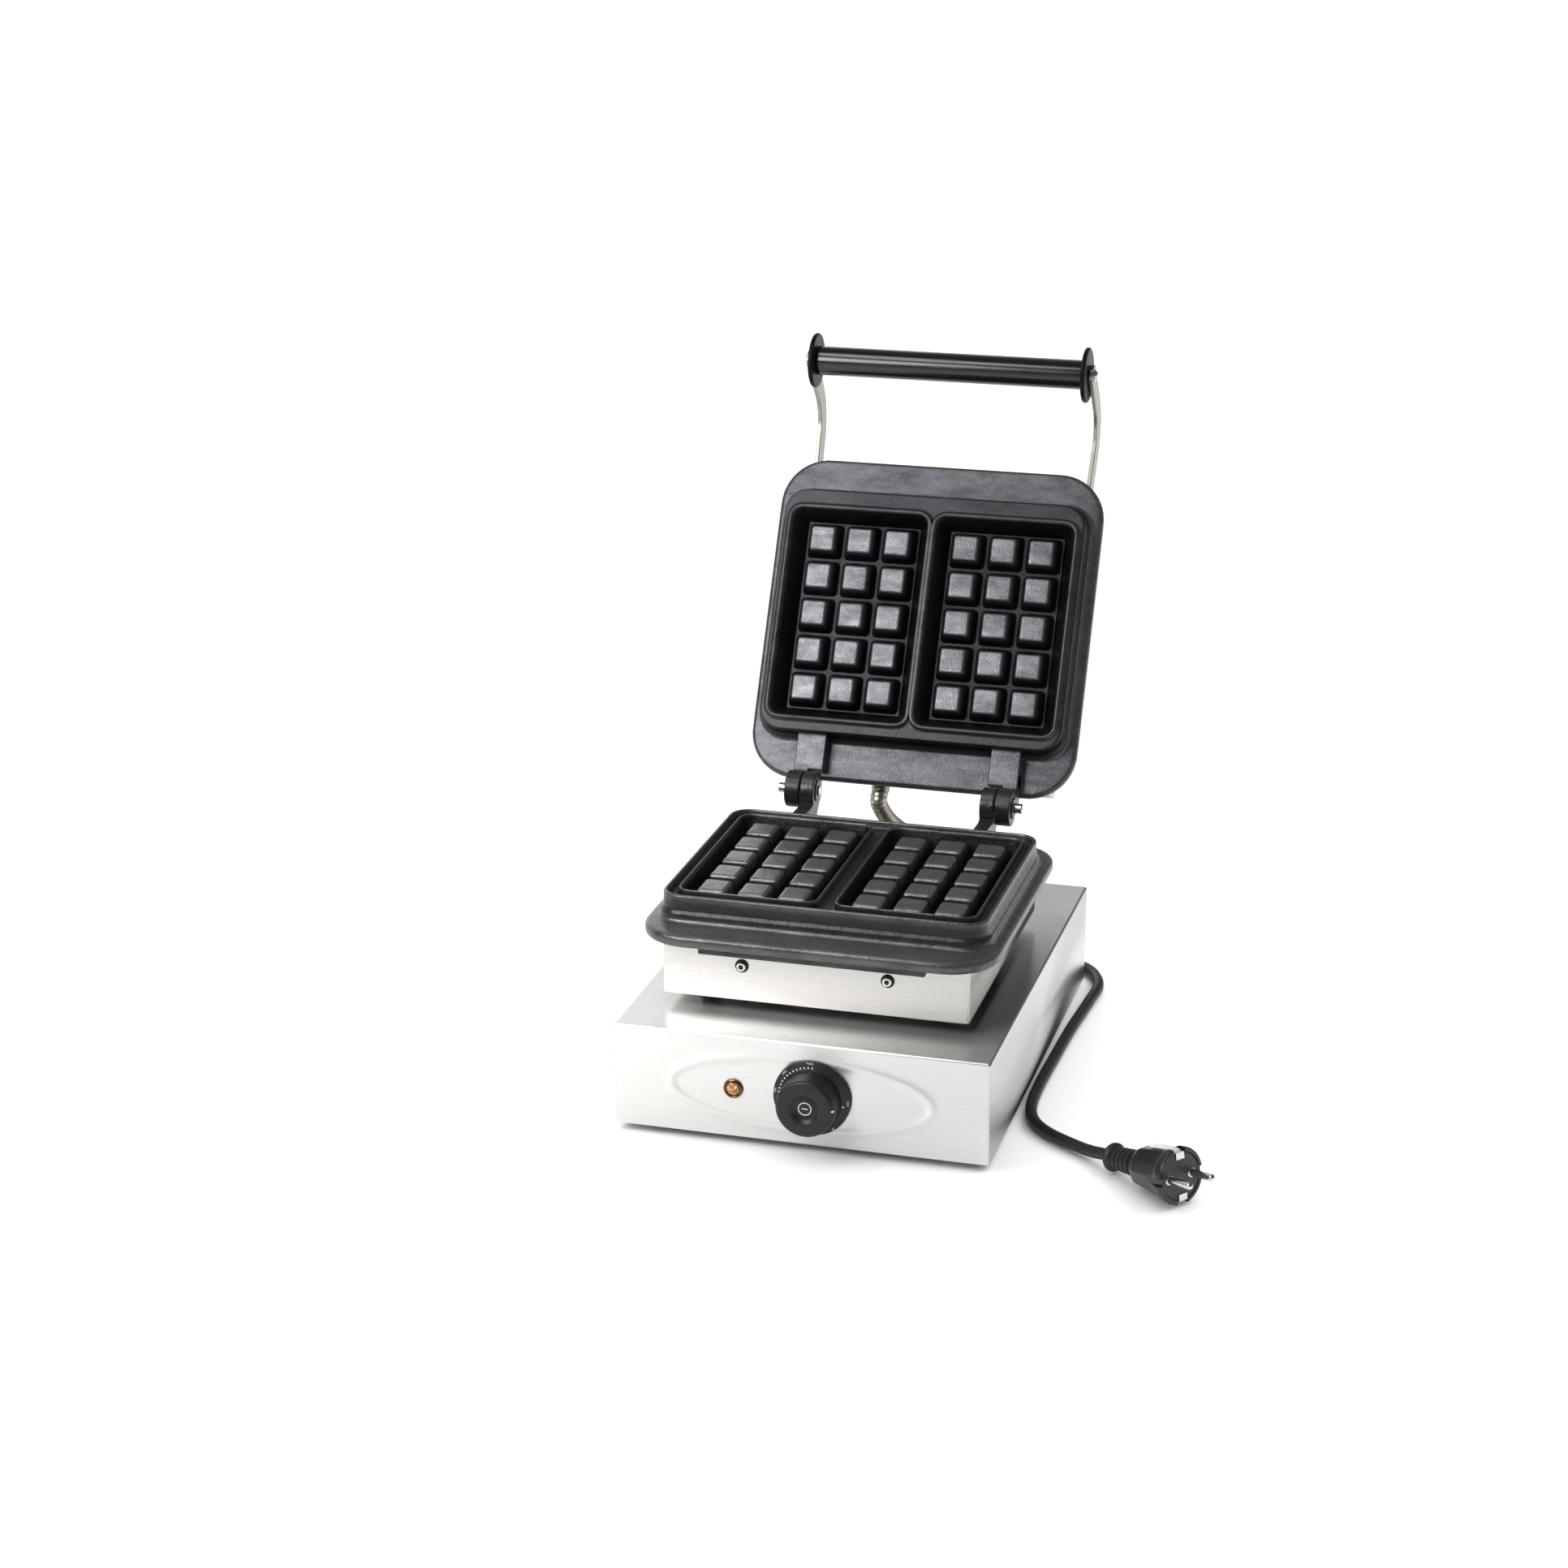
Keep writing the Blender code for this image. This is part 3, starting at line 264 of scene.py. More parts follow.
def hose_metal():
    """Spiral-wound steel, with painted shade: its colour darkens where the surface turns away from the eye.
    """
    made = Surface("hose_steel")
    fine = made.noise(1200.0)
    # Painted shade at the edges: the base colour falls to near black as the surface turns edge-on.
    edge = made.nodes.new("ShaderNodeLayerWeight")
    edge.inputs["Blend"].default_value = 0.5
    made.set("Base Color", made.ramp(edge.outputs["Facing"], (0.0, (0.52, 0.48, 0.42)),
                                     (0.45, (0.40, 0.365, 0.31)), (0.85, (0.09, 0.075, 0.06))))
    made.set("Roughness", made.ramp(fine, (0.3, 0.30), (0.7, 0.42)))
    made.set("Metallic", 1.0)
    return made.bump((fine, 0.00002, 0.5))


def plastic(name, color, rough, grain=700.0, depth=0.00003, coat=0.0, scuff=0.08, gleam=0.5):
    """Moulded plastic or rubber: fine moulded grain, faint scuffs and uneven sheen."""
    made = Surface(name)
    fine = made.noise(grain, (1, 1, 1), 3.0, 0.6)
    cloud = made.noise(40.0, (1, 1, 1), 4.0, 0.6, (3, 3, 1))
    made.set("Base Color", made.ramp(cloud, (0.35, color), (0.7, dimmed(color, 1.25))))
    made.set("Roughness", made.ramp(cloud, (0.3, max(0.02, rough - scuff / 2)), (0.75, rough + scuff)))
    made.set("Specular IOR Level", gleam)
    made.set("Coat Weight", coat)
    made.set("Coat Roughness", 0.12)
    return made.bump((fine, depth, 0.5))


def amber():
    """The lamp's lens: tinted plastic with a frosted pattern moulded in its back."""
    made = Surface("amber_lens")
    cells = made.cells(620.0)
    made.set("Base Color", made.ramp(cells, (0.0, (0.86, 0.46, 0.13)), (0.45, (0.52, 0.22, 0.04)),
                                     (0.8, (0.30, 0.11, 0.02))))
    made.set("Roughness", 0.22)
    made.set("Coat Weight", 0.8)
    made.set("Coat Roughness", 0.05)
    return made.bump((cells, 0.0005, 0.6))


def paint(name, color):
    made = Surface(name)
    worn = made.noise(1500.0)
    made.set("Base Color", made.ramp(worn, (0.3, dimmed(color, 0.8)), (0.6, color)))
    made.set("Roughness", 0.45)
    return made.bump((worn, 0.00002, 0.5))


def even(scale):
    """A grain without a direction."""
    return (scale, scale, scale)


ALONG_X = (60, 2600, 2600)
ALONG_Z = (2600, 2600, 90)
MAT = {
    "base": steel("base_steel", (0.67, 0.665, 0.65), 0.32, ALONG_X, 0.000006),
    "housing": steel("housing_steel", (0.57, 0.555, 0.53), 0.28, ALONG_X, 0.000006),
    "cover": steel("cover_steel", (0.62, 0.61, 0.59), 0.30, ALONG_X, 0.000006),
    "bar": steel("bar_steel", (0.31, 0.30, 0.265), 0.36, ALONG_Z, 0.00001, 0.06, False),
    "plain": steel("plain_steel", (0.55, 0.54, 0.52), 0.42, even(300), 0.00005, 0.12, False),
    "turned": steel("turned_steel", (0.66, 0.65, 0.63), 0.22, even(900), 0.00001, 0.08, False),
    "hose": hose_metal(),
    "lower_plate": cast_iron("lower_cast_iron", (0.0035, 0.0028, 0.0024), (0.008, 0.0066, 0.0058), 0.26,
                             (0.056, 0.052, 0.049), 0.29, 1.05, (0.98, 0.95, 1.0), 0.40),
    "upper_plate": cast_iron("upper_cast_iron", (0.0035, 0.0029, 0.0029), (0.008, 0.0070, 0.0074), 0.30,
                             (0.050, 0.048, 0.054), 0.31, 1.00, (0.93, 0.91, 1.0), 0.16),
    "grip": plastic("grip_plastic", (0.004, 0.004, 0.0045), 0.20, 900.0, 0.00001, 0.0, 0.05, 0.50),
    "disc": plastic("disc_plastic", (0.004, 0.004, 0.0042), 0.36, 900.0, 0.00002, 0.0, 0.08, 0.08),
    "knob": plastic("knob_plastic", (0.006, 0.0058, 0.0063), 0.44, 1200.0, 0.00003, 0.0, 0.08, 0.38),
    "rubber": plastic("cord_rubber", (0.008, 0.008, 0.009), 0.48, 1500.0, 0.00003),
    "plug": plastic("plug_plastic", (0.007, 0.008, 0.010), 0.30, 1300.0, 0.00003, 0.1),
    "plug_face": plastic("plug_face_plastic", (0.016, 0.021, 0.028), 0.42, 1300.0, 0.00003),
    "foot": plastic("foot_rubber", (0.012, 0.012, 0.012), 0.75, 800.0, 0.00005),
    "element": steel("element_steel", (0.20, 0.18, 0.16), 0.5, even(500), 0.00004, 0.3, False),
    "wool": plastic("mineral_wool", (0.62, 0.58, 0.46), 0.95, 300.0, 0.0008),
    "moulding": plastic("pale_moulding", (0.60, 0.56, 0.48), 0.55, 900.0, 0.00005),
    "copper": steel("copper", (0.72, 0.38, 0.22), 0.3, even(700), 0.00002, 0.2, False),
    "bezel": steel("bezel_metal", (0.16, 0.11, 0.07), 0.28, even(900), 0.00001, 0.2, False),
    "lens": amber(),
    "white": paint("dial_paint", (0.80, 0.80, 0.78)),
    "dark": plastic("seam_shadow", (0.01, 0.01, 0.01), 0.8),
}


# ---------------- mesh helpers
def mm(*rows):
    """Rows of millimetres as rows of metres."""
    return [tuple(value / 1000 for value in row) for row in rows]


def angles(count):
    return [2 * pi * k / count for k in range(count)]


def spot(radius, angle, height):
    return Vector((radius * cos(angle), radius * sin(angle), height))


def facing(x, y, z, axis):
    """A matrix that puts the origin at a place, with Z along the axis."""
    turn = Vector(axis).to_track_quat("Z", "Y").to_matrix().to_4x4()
    return Matrix.Translation((x, y, z)) @ turn


class Shape:
    """Vertices and faces on the way to a piece."""

    def __init__(self):
        self.points = []
        self.faces = []

    def ring(self, points):
        """Adds points and returns their numbers; None marks a place that the ring leaves out."""
        numbers = []
        for point in points:
            numbers.append(None if point is None else len(self.points))
            if point is not None:
                self.points.append(Vector(point))
        return numbers

    def bridge(self, low, high):
        for i in range(len(low)):
            j = (i + 1) % len(low)
            corners = (low[i], low[j], high[j], high[i])
            if None not in corners:
                self.faces.append(corners)

    def skin(self, rings, cap_start=False, cap_end=False, loop=False):
        numbers = [self.ring(r) for r in rings]
        for low, high in zip(numbers, numbers[1:]):
            self.bridge(low, high)
        if loop:
            self.bridge(numbers[-1], numbers[0])
        if cap_start:
            self.faces.append(tuple(numbers[0]))
        if cap_end:
            self.faces.append(tuple(numbers[-1]))
        return self

    def turned(self, profile, matrix=NOWHERE, sides=48, loop=False, cap_end=True):
        """Turns (radius, height) pairs about the matrix's Z."""
        rings = [[matrix @ spot(r, angle, h) for angle in angles(sides)] for r, h in profile]
        return self.skin(rings, not loop, cap_end and not loop, loop)

    def prism(self, outline, x0, x1, bevel):
        """Extrudes a (y, z) outline along X, with softened edges."""
        area = sum(a[0] * b[1] - b[0] * a[1] for a, b in zip(outline, outline[1:] + outline[:1]))
        if area < 0:
            outline = outline[::-1]
        steps = ((0, 1), (0.12, 0.5), (0.45, 0.12), (1, 0))
        rings = [(x0 + along * bevel, inwards * bevel) for along, inwards in steps]
        rings += [(x1 - along * bevel, inwards * bevel) for along, inwards in reversed(steps)]
        return self.skin([[(x, y, z) for y, z in inset(outline, d)] for x, d in rings], True, True)

    def mesh(self, name, fills=(), angle=35):
        """The joined mesh; fills are heights of flat gaps, with holes in them, to fill."""
        data = bpy.data.meshes.new(name)
        data.from_pydata(self.points, [], self.faces)
        made = bmesh.new()
        made.from_mesh(data)
        bmesh.ops.remove_doubles(made, verts=made.verts, dist=2e-6)
        bmesh.ops.dissolve_degenerate(made, dist=1e-6, edges=made.edges)
        for height in fills:
            rim = [
                e for e in made.edges
                if len(e.link_faces) == 1 and all(abs(v.co.z - height) < 1e-6 for v in e.verts)
            ]
            bmesh.ops.triangle_fill(made, edges=rim, use_beauty=True, use_dissolve=False)
        bmesh.ops.recalc_face_normals(made, faces=made.faces)
        return finished(made, data, angle)


def finished(made, data, angle):
    """Writes a bmesh to a mesh and shades it, sharp only past the angle."""
    made.to_mesh(data)
    made.free()
    data.shade_smooth()
    data.set_sharp_from_angle(angle=radians(angle))
    return data


def joined(*meshes):
    """One mesh from several."""
    made = bmesh.new()
    for data in meshes:
        made.from_mesh(data)
    return finished(made, meshes[0], 40)


def even_shading(obj):
    """Smooths the shading of flat faces beside rounded edges; the caller may change its weight."""
    normals = obj.modifiers.new("normals", "WEIGHTED_NORMAL")
    normals.keep_sharp = True
    return normals


def piece(name, shape, body, material, nodes=(), matrix=NOWHERE, angle=35, weighted=True):
    """Makes the object, hangs it on its body and hides the CAD nodes it stands for."""
    data = shape.mesh(name, (), angle) if isinstance(shape, Shape) else shape
    data.transform(matrix)
    data.materials.clear()
    data.materials.append(MAT[material])
    obj = added(name, data)
    if weighted:
        even_shading(obj).weight = 80
    if body:
        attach(obj, body)
    if nodes:
        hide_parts(*nodes)
    return obj


def square(front, right, rear, left):
    """Places round the unit square, from the shares of the way along each side."""
    return (
        [(2 * t - 1, -1) for t in front]
        + [(1, 2 * t - 1) for t in right]
        + [(1 - 2 * t, 1) for t in rear]
        + [(-1, 1 - 2 * t) for t in left]
    )


def side_places(stops, columns=1, rows=1):
    """Places round the unit square, with the same stops along each stretch of each side."""
    across = [(k + s) / columns for k in range(columns) for s in stops]
    along = [(k + s) / rows for k in range(rows) for s in stops]
    return square(across, along, across, along)


def rounded(cx, cy, hx, hy, radius, z, places):
    """A ring with round corners, one point for each place on the unit square."""
    ring = []
    kx = hx - radius
    ky = hy - radius
    for sx, sy in places:
        x = abs(sx) * hx
        y = abs(sy) * hy
        if x > kx and y > ky:
            span = hypot(x - kx, y - ky)
            if span > 1e-9:
                x = kx + radius * (x - kx) / span
                y = ky + radius * (y - ky) / span
        ring.append((cx + copysign(x, sx), cy + copysign(y, sy), z))
    return ring


def inset(outline, distance):
    """Moves each point of a flat closed outline inwards; it runs anticlockwise in its own axes."""
    moved = []
    count = len(outline)
    for i, (a, b) in enumerate(outline):
        pa, pb = outline[i - 1]
        na, nb = outline[(i + 1) % count]
        in_a, in_b = a - pa, b - pb
        out_a, out_b = na - a, nb - b
        li = hypot(in_a, in_b) or 1e-9
        lo = hypot(out_a, out_b) or 1e-9
        nx = -(in_b / li + out_b / lo)
        ny = in_a / li + out_a / lo
        ln = hypot(nx, ny) or 1e-9
        nx, ny = nx / ln, ny / ln
        stretch = 1 / max(0.45, -in_b / li * nx + in_a / li * ny)
        moved.append((a + nx * distance * stretch, b + ny * distance * stretch))
    return moved


def arc(cy, cz, radius, start, end, steps):
    turns = [radians(start + (end - start) * i / steps) for i in range(steps + 1)]
    return [(cy + radius * cos(a), cz + radius * sin(a)) for a in turns]


def round_corners(points, radii, steps=5):
    """A flat closed outline with each corner rounded by its radius."""
    outline = []
    count = len(points)
    for i, point in enumerate(points):
        p = Vector(point)
        before = Vector(points[i - 1]) - p
        after = Vector(points[(i + 1) % count]) - p
        radius = radii[i] if isinstance(radii, tuple) else radii
        if radius <= 0:
            outline.append(tuple(p))
            continue
        half = before.angle(after) / 2
        reach = min(radius / max(1e-6, sin(half) / cos(half)), before.length * 0.49, after.length * 0.49)
        start = p + before.normalized() * reach
        end = p + after.normalized() * reach
        for k in range(steps + 1):
            t = k / steps
            outline.append(tuple(start * (1 - t) ** 2 + p * 2 * t * (1 - t) + end * t**2))
    return outline


def smooth_route(points, spacing):
    """Points about a spacing apart on a smooth curve through the route's own points."""
    route = [Vector(p) for p in points]
    ends = [2 * route[0] - route[1], *route, 2 * route[-1] - route[-2]]
    curve = [route[0]]
    for a, b, c, d in zip(ends, ends[1:], ends[2:], ends[3:]):
        steps = max(1, ceil((c - b).length / spacing))
        for t in (i / steps for i in range(1, steps + 1)):
            square_term = (2 * a - 5 * b + 4 * c - d) * t**2
            cube_term = (3 * b - a - 3 * c + d) * t**3
            curve.append((2 * b + (c - a) * t + square_term + cube_term) / 2)
    return curve


def length_of(points):
    return sum((b - a).length for a, b in zip(points, points[1:]))


# ---------------- mains cord and plug
PLUG_START = 0.0265
PLUG_FACE = 0.0645
PLUG_R = 0.0187
PIN_Y = 0.0095
PIN_R = 0.0024
FLOOR_Z = CORD_R + GAP
COIL_TOP = FLOOR_Z + COIL_PITCH * COIL_TURNS


def cord_route():
    """Out of the base's rear, round the coil from the top down, and along the right side to the plug."""
    y = BASE_REAR + SLEEVE
    start = [
        (CORD_EXIT_X, y, CORD_EXIT_Z),
        (CORD_EXIT_X, y + 0.016, CORD_EXIT_Z - 0.0010),
        (CORD_EXIT_X, COIL_Y - 0.016, COIL_TOP + 0.0010),
        (CORD_EXIT_X, COIL_Y - 0.006, COIL_TOP),
    ]
    coil = []
    steps = round(COIL_TURNS * 24)
    for i in range(1, steps + 1):
        angle = 2 * pi * COIL_TURNS * i / steps
        coil.append(Vector((COIL_X + COIL_R * cos(angle), COIL_Y + COIL_R * sin(angle),
                            COIL_TOP - COIL_PITCH * COIL_TURNS * i / steps)))
    end = [(COIL_X + 0.001, COIL_Y - COIL_R, FLOOR_Z), (COIL_X + 0.015, COIL_Y - COIL_R, FLOOR_Z)]
    end += [(x, BASE_Y + y, FLOOR_Z) for x, y in (
        (0.0600, 0.1990), (0.0920, 0.1965), (0.1225, 0.1835), (0.1370, 0.1560), (0.1365, 0.1200),
        (0.1335, 0.0700), (0.1320, 0.0200), (0.1310, -0.0300), (0.1325, -0.0660), (0.1390, -0.0890),
        (0.1530, -0.1060))]
    end += [(0.1800, BASE_Y - 0.1252, FLOOR_Z + 0.0010)]
    end += [tuple(PLUG @ Vector((x, 0, 0))) for x in (-0.0080, 0.0010)]
    return smooth_route(start, 0.006) + coil + smooth_route(end, 0.008)[1:]


def add_mains_cord(route):
    data = bpy.data.curves.new("mains_cord", "CURVE")
    data.dimensions = "3D"
    spline = data.splines.new("POLY")
    spline.points.add(len(route) - 1)
    for vertex, point in zip(spline.points, route):
        vertex.co = (*point, 1.0)
    spline.use_smooth = True
    data.bevel_depth = CORD_R
    data.bevel_resolution = 4
    data.use_fill_caps = True
    data.materials.append(MAT["rubber"])
    cord = added("mains_cord", data)
    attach(cord, "base")
    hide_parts("mains_cord_start", "mains_cord_coil", "mains_cord_end")
    return cord


def add_cord_sleeve():
    """The ribbed sleeve on the base's rear, which tapers outwards."""
    profile = mm((6.0, -4), (10.5, -4), (10.5, 0.3), (11.0, 0.8), (11.0, 3.6), (10.4, 4.5), (8.6, 5.8))
    for k in range(6):
        z = 0.0075 + 0.0038 * k
        r = 0.0080 - 0.00035 * k
        profile += [(r - 0.0009, z - 0.0010), (r, z), (r, z + 0.0014), (r - 0.0009, z + 0.0022)]
    profile += mm((5.4, 31.2), (4.6, 32.0))
    sleeve = Shape().turned(profile, facing(CORD_EXIT_X, BASE_REAR, CORD_EXIT_Z, (0, 1, 0)), 40)
    piece("cord_sleeve", sleeve, "base", "rubber", ["cord_strain_relief"])


def add_plug_sleeve():
    """The ribbed sleeve with a flared collar on the plug."""
    profile = mm((4.4, -0.6), (6.0, 0), (8.2, 1.0), (9.3, 2.6), (9.4, 4.2), (8.6, 5.6), (7.0, 6.6))
    for k in range(4):
        z = 0.0086 + 0.0042 * k
        r = 0.0076 + 0.0003 * k
        profile += [(r - 0.0012, z - 0.0013), (r, z - 0.0004), (r, z + 0.0014), (r - 0.0012, z + 0.0023)]
    profile += mm((8.0, 25.8), (8.6, 26.8))
    collar = Shape().turned(profile, facing(0, 0, 0, (1, 0, 0)), 40)
    return piece("plug_sleeve", collar, "base", "rubber", ["plug_strain_relief"], PLUG)


def plug_ring(x, radius, flat, facets=10):
    """One ring of the plug's body: round, with flats that fade towards the face."""
    ring = []
    for angle in (a + pi / 64 for a in angles(64)):
        sector = (angle / (2 * pi) * facets) % 1 - 0.5
        reach = cos(pi / facets) / cos(2 * pi * sector / facets)
        r = radius * (1 + flat * (reach - 1))
        ring.append((x, r * cos(angle), r * sin(angle)))
    return ring


def plug_hollows():
    """Earth slots with their notches, the wells round the pins, and the recess of the face."""
    cutters = []
    for side in (-1, 1):
        z0, z1 = sorted((side * (PLUG_R - 0.0042), side * (PLUG_R + 0.003)))
        outline = round_corners([(-0.0046, z0), (0.0046, z0), (0.0046, z1), (-0.0046, z1)], 0.0006, 3)
        ends = (PLUG_FACE - 0.026, PLUG_FACE + 0.003)
        cutters.append(Shape().skin([[(x, y, z) for y, z in outline] for x in ends], True, True))
        y0, y1 = sorted((side * (PLUG_R - 0.0026), side * (PLUG_R + 0.003)))
        outline = ((y0, -0.0024), (y1, -0.0024), (y1, 0.0024), (y0, 0.0024))
        ends = (PLUG_FACE - 0.016, PLUG_FACE + 0.003)
        cutters.append(Shape().skin([[(x, y, z) for y, z in outline] for x in ends], True, True))
        well = [(0.0034, PLUG_FACE - 0.0035), (0.0034, PLUG_FACE + 0.002)]
        cutters.append(Shape().turned(well, facing(0, side * PIN_Y, 0, (1, 0, 0)), 24))
    recess = [(0.0160, PLUG_FACE - 0.0012), (0.0160, PLUG_FACE + 0.002)]
    cutters.append(Shape().turned(recess, facing(0, 0, 0, (1, 0, 0))))
    return cutters


def add_plug():
    stations = (
        (0.0000, 0.0088, 0.0), (0.0004, 0.0100, 0.4), (0.0016, 0.0112, 1.0), (0.0050, 0.0131, 1.0),
        (0.0064, 0.0136, 1.0), (0.0150, 0.0150, 1.0), (0.0230, 0.0163, 1.0), (0.0296, 0.0173, 0.9),
        (0.0310, 0.0178, 0.3), (0.0326, 0.0184, 0.0), (0.0340, PLUG_R, 0.0), (0.0368, PLUG_R, 0.0),
        (0.0377, PLUG_R - 0.0003, 0.0), (0.0380, PLUG_R - 0.0010, 0.0),
    )
    body = Shape().skin([plug_ring(PLUG_START + x, r, flat) for x, r, flat in stations], True, True)
    shell = piece("plug_shell", body.mesh("plug_body_shell", (), 28), "base", "plug",
                  ["plug_body"], PLUG)
    hollows = plug_hollows()
    cut_with(shell, hollows)
    insert = Shape().turned([(0.0157, PLUG_FACE - 0.0013), (0.0157, PLUG_FACE - 0.0008),
                             (0.0152, PLUG_FACE - 0.0004)], facing(0, 0, 0, (1, 0, 0)))
    face = piece("plug_face", insert, "base", "plug_face", (), PLUG)
    cut_with(face, hollows[:6])
    pieces = [shell, face]
    for name, side in (("left", 1), ("right", -1)):
        profile = mm((3.2, -4.2), (3.2, -0.6), (2.4, -0.4), (2.4, 16.0))
        profile += [(PIN_R * cos(a), 0.0166 + PIN_R * sin(a)) for a in (0.3, 0.6, 0.9, 1.2, 1.45)]
        pin = Shape().turned(profile, facing(PLUG_FACE, side * PIN_Y, 0, (1, 0, 0)), 28)
        pieces.append(piece(f"plug_prong_{name}", pin, "base", "turned",
                            [f"plug_pin_{name}"], PLUG))
    for name, side in (("top", 1), ("bottom", -1)):
        level = side * (PLUG_R - 0.0034)
        rows = []
        for back, lift in mm((-24, 0), (-12, 1.2), (-3, 0.6), (0.2, -0.2), (0.4, -4.0)):
            x = PLUG_FACE + back
            low = level + side * lift
            high = low + side * 0.0006
            rows.append([(x, -0.0034, low), (x, 0.0034, low), (x, 0.0034, high), (x, -0.0034, high)])
        pieces.append(piece(f"plug_clip_{name}", Shape().skin(rows, True, True), "base",
                            "turned", [f"plug_earth_clip_{name}"], PLUG))
    return pieces


def cut_with(obj, cutters):
    """Cuts hollows into a piece of the plug and keeps the result as its mesh."""
    tools = []
    for k, cutter in enumerate(cutters):
        name = f"{obj.name}_cutter_{k}"
        tool = added(name, cutter.mesh(name))
        tool.matrix_world = PLUG
        modifier = obj.modifiers.new("cut", "BOOLEAN")
        modifier.operation = "DIFFERENCE"
        modifier.solver = "EXACT"
        modifier.object = tool
        tools.append(tool)
    bpy.context.view_layer.update()
    graph = bpy.context.evaluated_depsgraph_get()
    data = bpy.data.meshes.new_from_object(obj.evaluated_get(graph))
    data.set_sharp_from_angle(angle=radians(30))
    obj.modifiers.clear()
    obj.data = data
    for tool in tools:
        bpy.data.objects.remove(tool, do_unlink=True)
    even_shading(obj)


route = cord_route()
cord = add_mains_cord(route)
add_cord_sleeve()
round(length_of(route), 3)
add_plug_sleeve()
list(add_plug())

# ---------------- cast plates
CELL = 0.0275
COLUMNS = 3
ROWS = 5
# row pitch; height, half width, half length and shoulder of the block tops
UPPER_ROWS = (0.0274, -0.0045, 0.0089, 0.0089, 0.0016)
LOWER_ROWS = (0.0288, -0.0025, 0.0096, 0.0108, 0.0027)
FIELD_X = 0.0526
FIELD_Y = BASE_Y - 0.0268
CAVITY_FLOOR = -0.0165
CAVITY_CORNER = 0.0075
FIELD_HALF = (0.0400, 0.0715)
CAVITY_HALF = (0.0463, 0.0780)
RIM_UNDER = -0.0030
RIM_OVER = -0.0012
BODY_MIDDLE = -0.0100
# Heights over which the flange's painted sheen comes in.
FLANGE_SHEEN = (-0.0135, -0.0165)
BLOCK_FOOT = 0.01236
BLOCK_FILLET = 0.0008
BLOCK_EASES = 0.0018
BLOCK_CORNER = 0.0018
CELL_STOPS = (0, 0.03, 0.09, 0.2, 0.35, 0.5, 0.65, 0.8, 0.91, 0.97)
EDGE_STOPS = (0, 0.008, 0.018, 0.03, 0.045, 0.062, 0.082, 0.105, 0.13, 0.17, 0.25, 0.37, 0.5)
EDGE_STOPS += tuple(1 - s for s in EDGE_STOPS[-2:0:-1])
CELL_PLACES = side_places(CELL_STOPS)
FIELD_PLACES = side_places(CELL_STOPS, COLUMNS, ROWS)
OUTER_PLACES = side_places(EDGE_STOPS)

# The cavity walls as (share of the way from the edge to the block field, height), then the outlines of
# lips, beads and rims as (distance outwards or inwards, height).
WALL_RINGS = ((0.0, -0.0009), (0.05, -0.0019), (0.16, -0.0034), (0.32, -0.0062), (0.52, -0.0098),
              (0.74, -0.0134), (0.88, -0.0154), (0.95, -0.0162), (0.985, -0.01645), (1.0, -0.0165))
FLANGE = (0, BASE_Y - 0.02625, 0.119, 0.11775, 0.034)
LOWER_RECT = (0.0068, 0.0992, BASE_Y - 0.1040, BASE_Y + 0.0505)
UPPER_RECT = (0.0030, 0.1032, BASE_Y - 0.1026, BASE_Y + 0.0493)
LOWER_LIP = mm((0, -0.9), (0.2, -0.3), (0.55, -0.03), (0.8, 0), (1.05, -0.03), (1.4, -0.3), (1.6, -0.9),
               (1.78, -3.6), (2.2, -4.9), (3.2, -5.5))
LOWER_GROOVE = -0.0055
LOWER_PROFILE = mm(
    (5.2, -5.5), (4.0, -5.1), (3.2, -4.0), (2.75, -1.2), (2.45, -0.4), (2.0, -0.05), (1.6, 0),
    (1.0, -0.05), (0.4, -0.4), (0, -1.2), (-0.1, -5.0), (-0.3, -9.2), (-0.6, -10.3), (-1.3, -11.3),
    (-1.9, -12.0), (-2.3, -13.1), (-2.5, -14.6), (-2.9, -16.0), (-3.7, -17.1), (-5.0, -17.7))
UPPER_BAND = -0.0020
UPPER_BEAD = mm((0, -0.9), (0.3, -0.4), (0.8, -0.1), (1.5, 0), (2.2, -0.1), (2.7, -0.4), (3.0, -0.8))
UPPER_BEAD_OUT = mm((3.3, -1.3), (3.7, -1.7), (4.3, -1.95), (5.0, -2.0))
UPPER_PROFILE = mm(
    (1.6, -2.0), (1.0, -2.15), (0.4, -2.6), (0, -3.6), (-0.1, -8.0), (-0.4, -12.2), (-0.7, -13.2),
    (-1.4, -14.1), (-2.0, -14.8), (-2.4, -16.0), (-2.6, -17.6), (-3.0, -19.0), (-3.8, -20.0), (-5.0, -20.5))


def mark(data, worn):
    """Writes a 0 to 1 value at each point of a mesh: worn places, and painted highlight, sheen and shade,
    that the cast iron's colour follows.
    """
    layer = data.attributes.new("wear_and_painted_light", "FLOAT", "POINT")
    for vertex, value in zip(data.vertices, layer.data):
        value.value = worn(vertex.co)
    return data


def step(low, high, value):
    """0 at low, 1 at high, smooth between and level beyond."""
    t = min(1.0, max(0.0, (value - low) / (high - low)))
    return t * t * (3 - 2 * t)


def worn_and_lit_cast(top, ease, wall, flange, band):
    """One value for worn places and painted light: the block tops are worn smooth; the flange gets a painted
    sheen and the raised rim a painted highlight; the outer body wall gets the wall level, set to paint its
    light and shade; the cavities get none.
    """
    def worn(co):
        across = abs(abs(co.x) - FIELD_X)
        along = abs(co.y - FIELD_Y)
        if across < FIELD_HALF[0] and along < FIELD_HALF[1]:
            return step(top - ease, top - ease / 3, co.z)
        if across < CAVITY_HALF[0] and along < CAVITY_HALF[1] and co.z < -0.0010:
            return 0.0
        if co.z < BODY_MIDDLE:
            return wall + flange * step(*FLANGE_SHEEN, co.z)
        return wall + band * step(RIM_UNDER, RIM_OVER, co.z)
    return worn


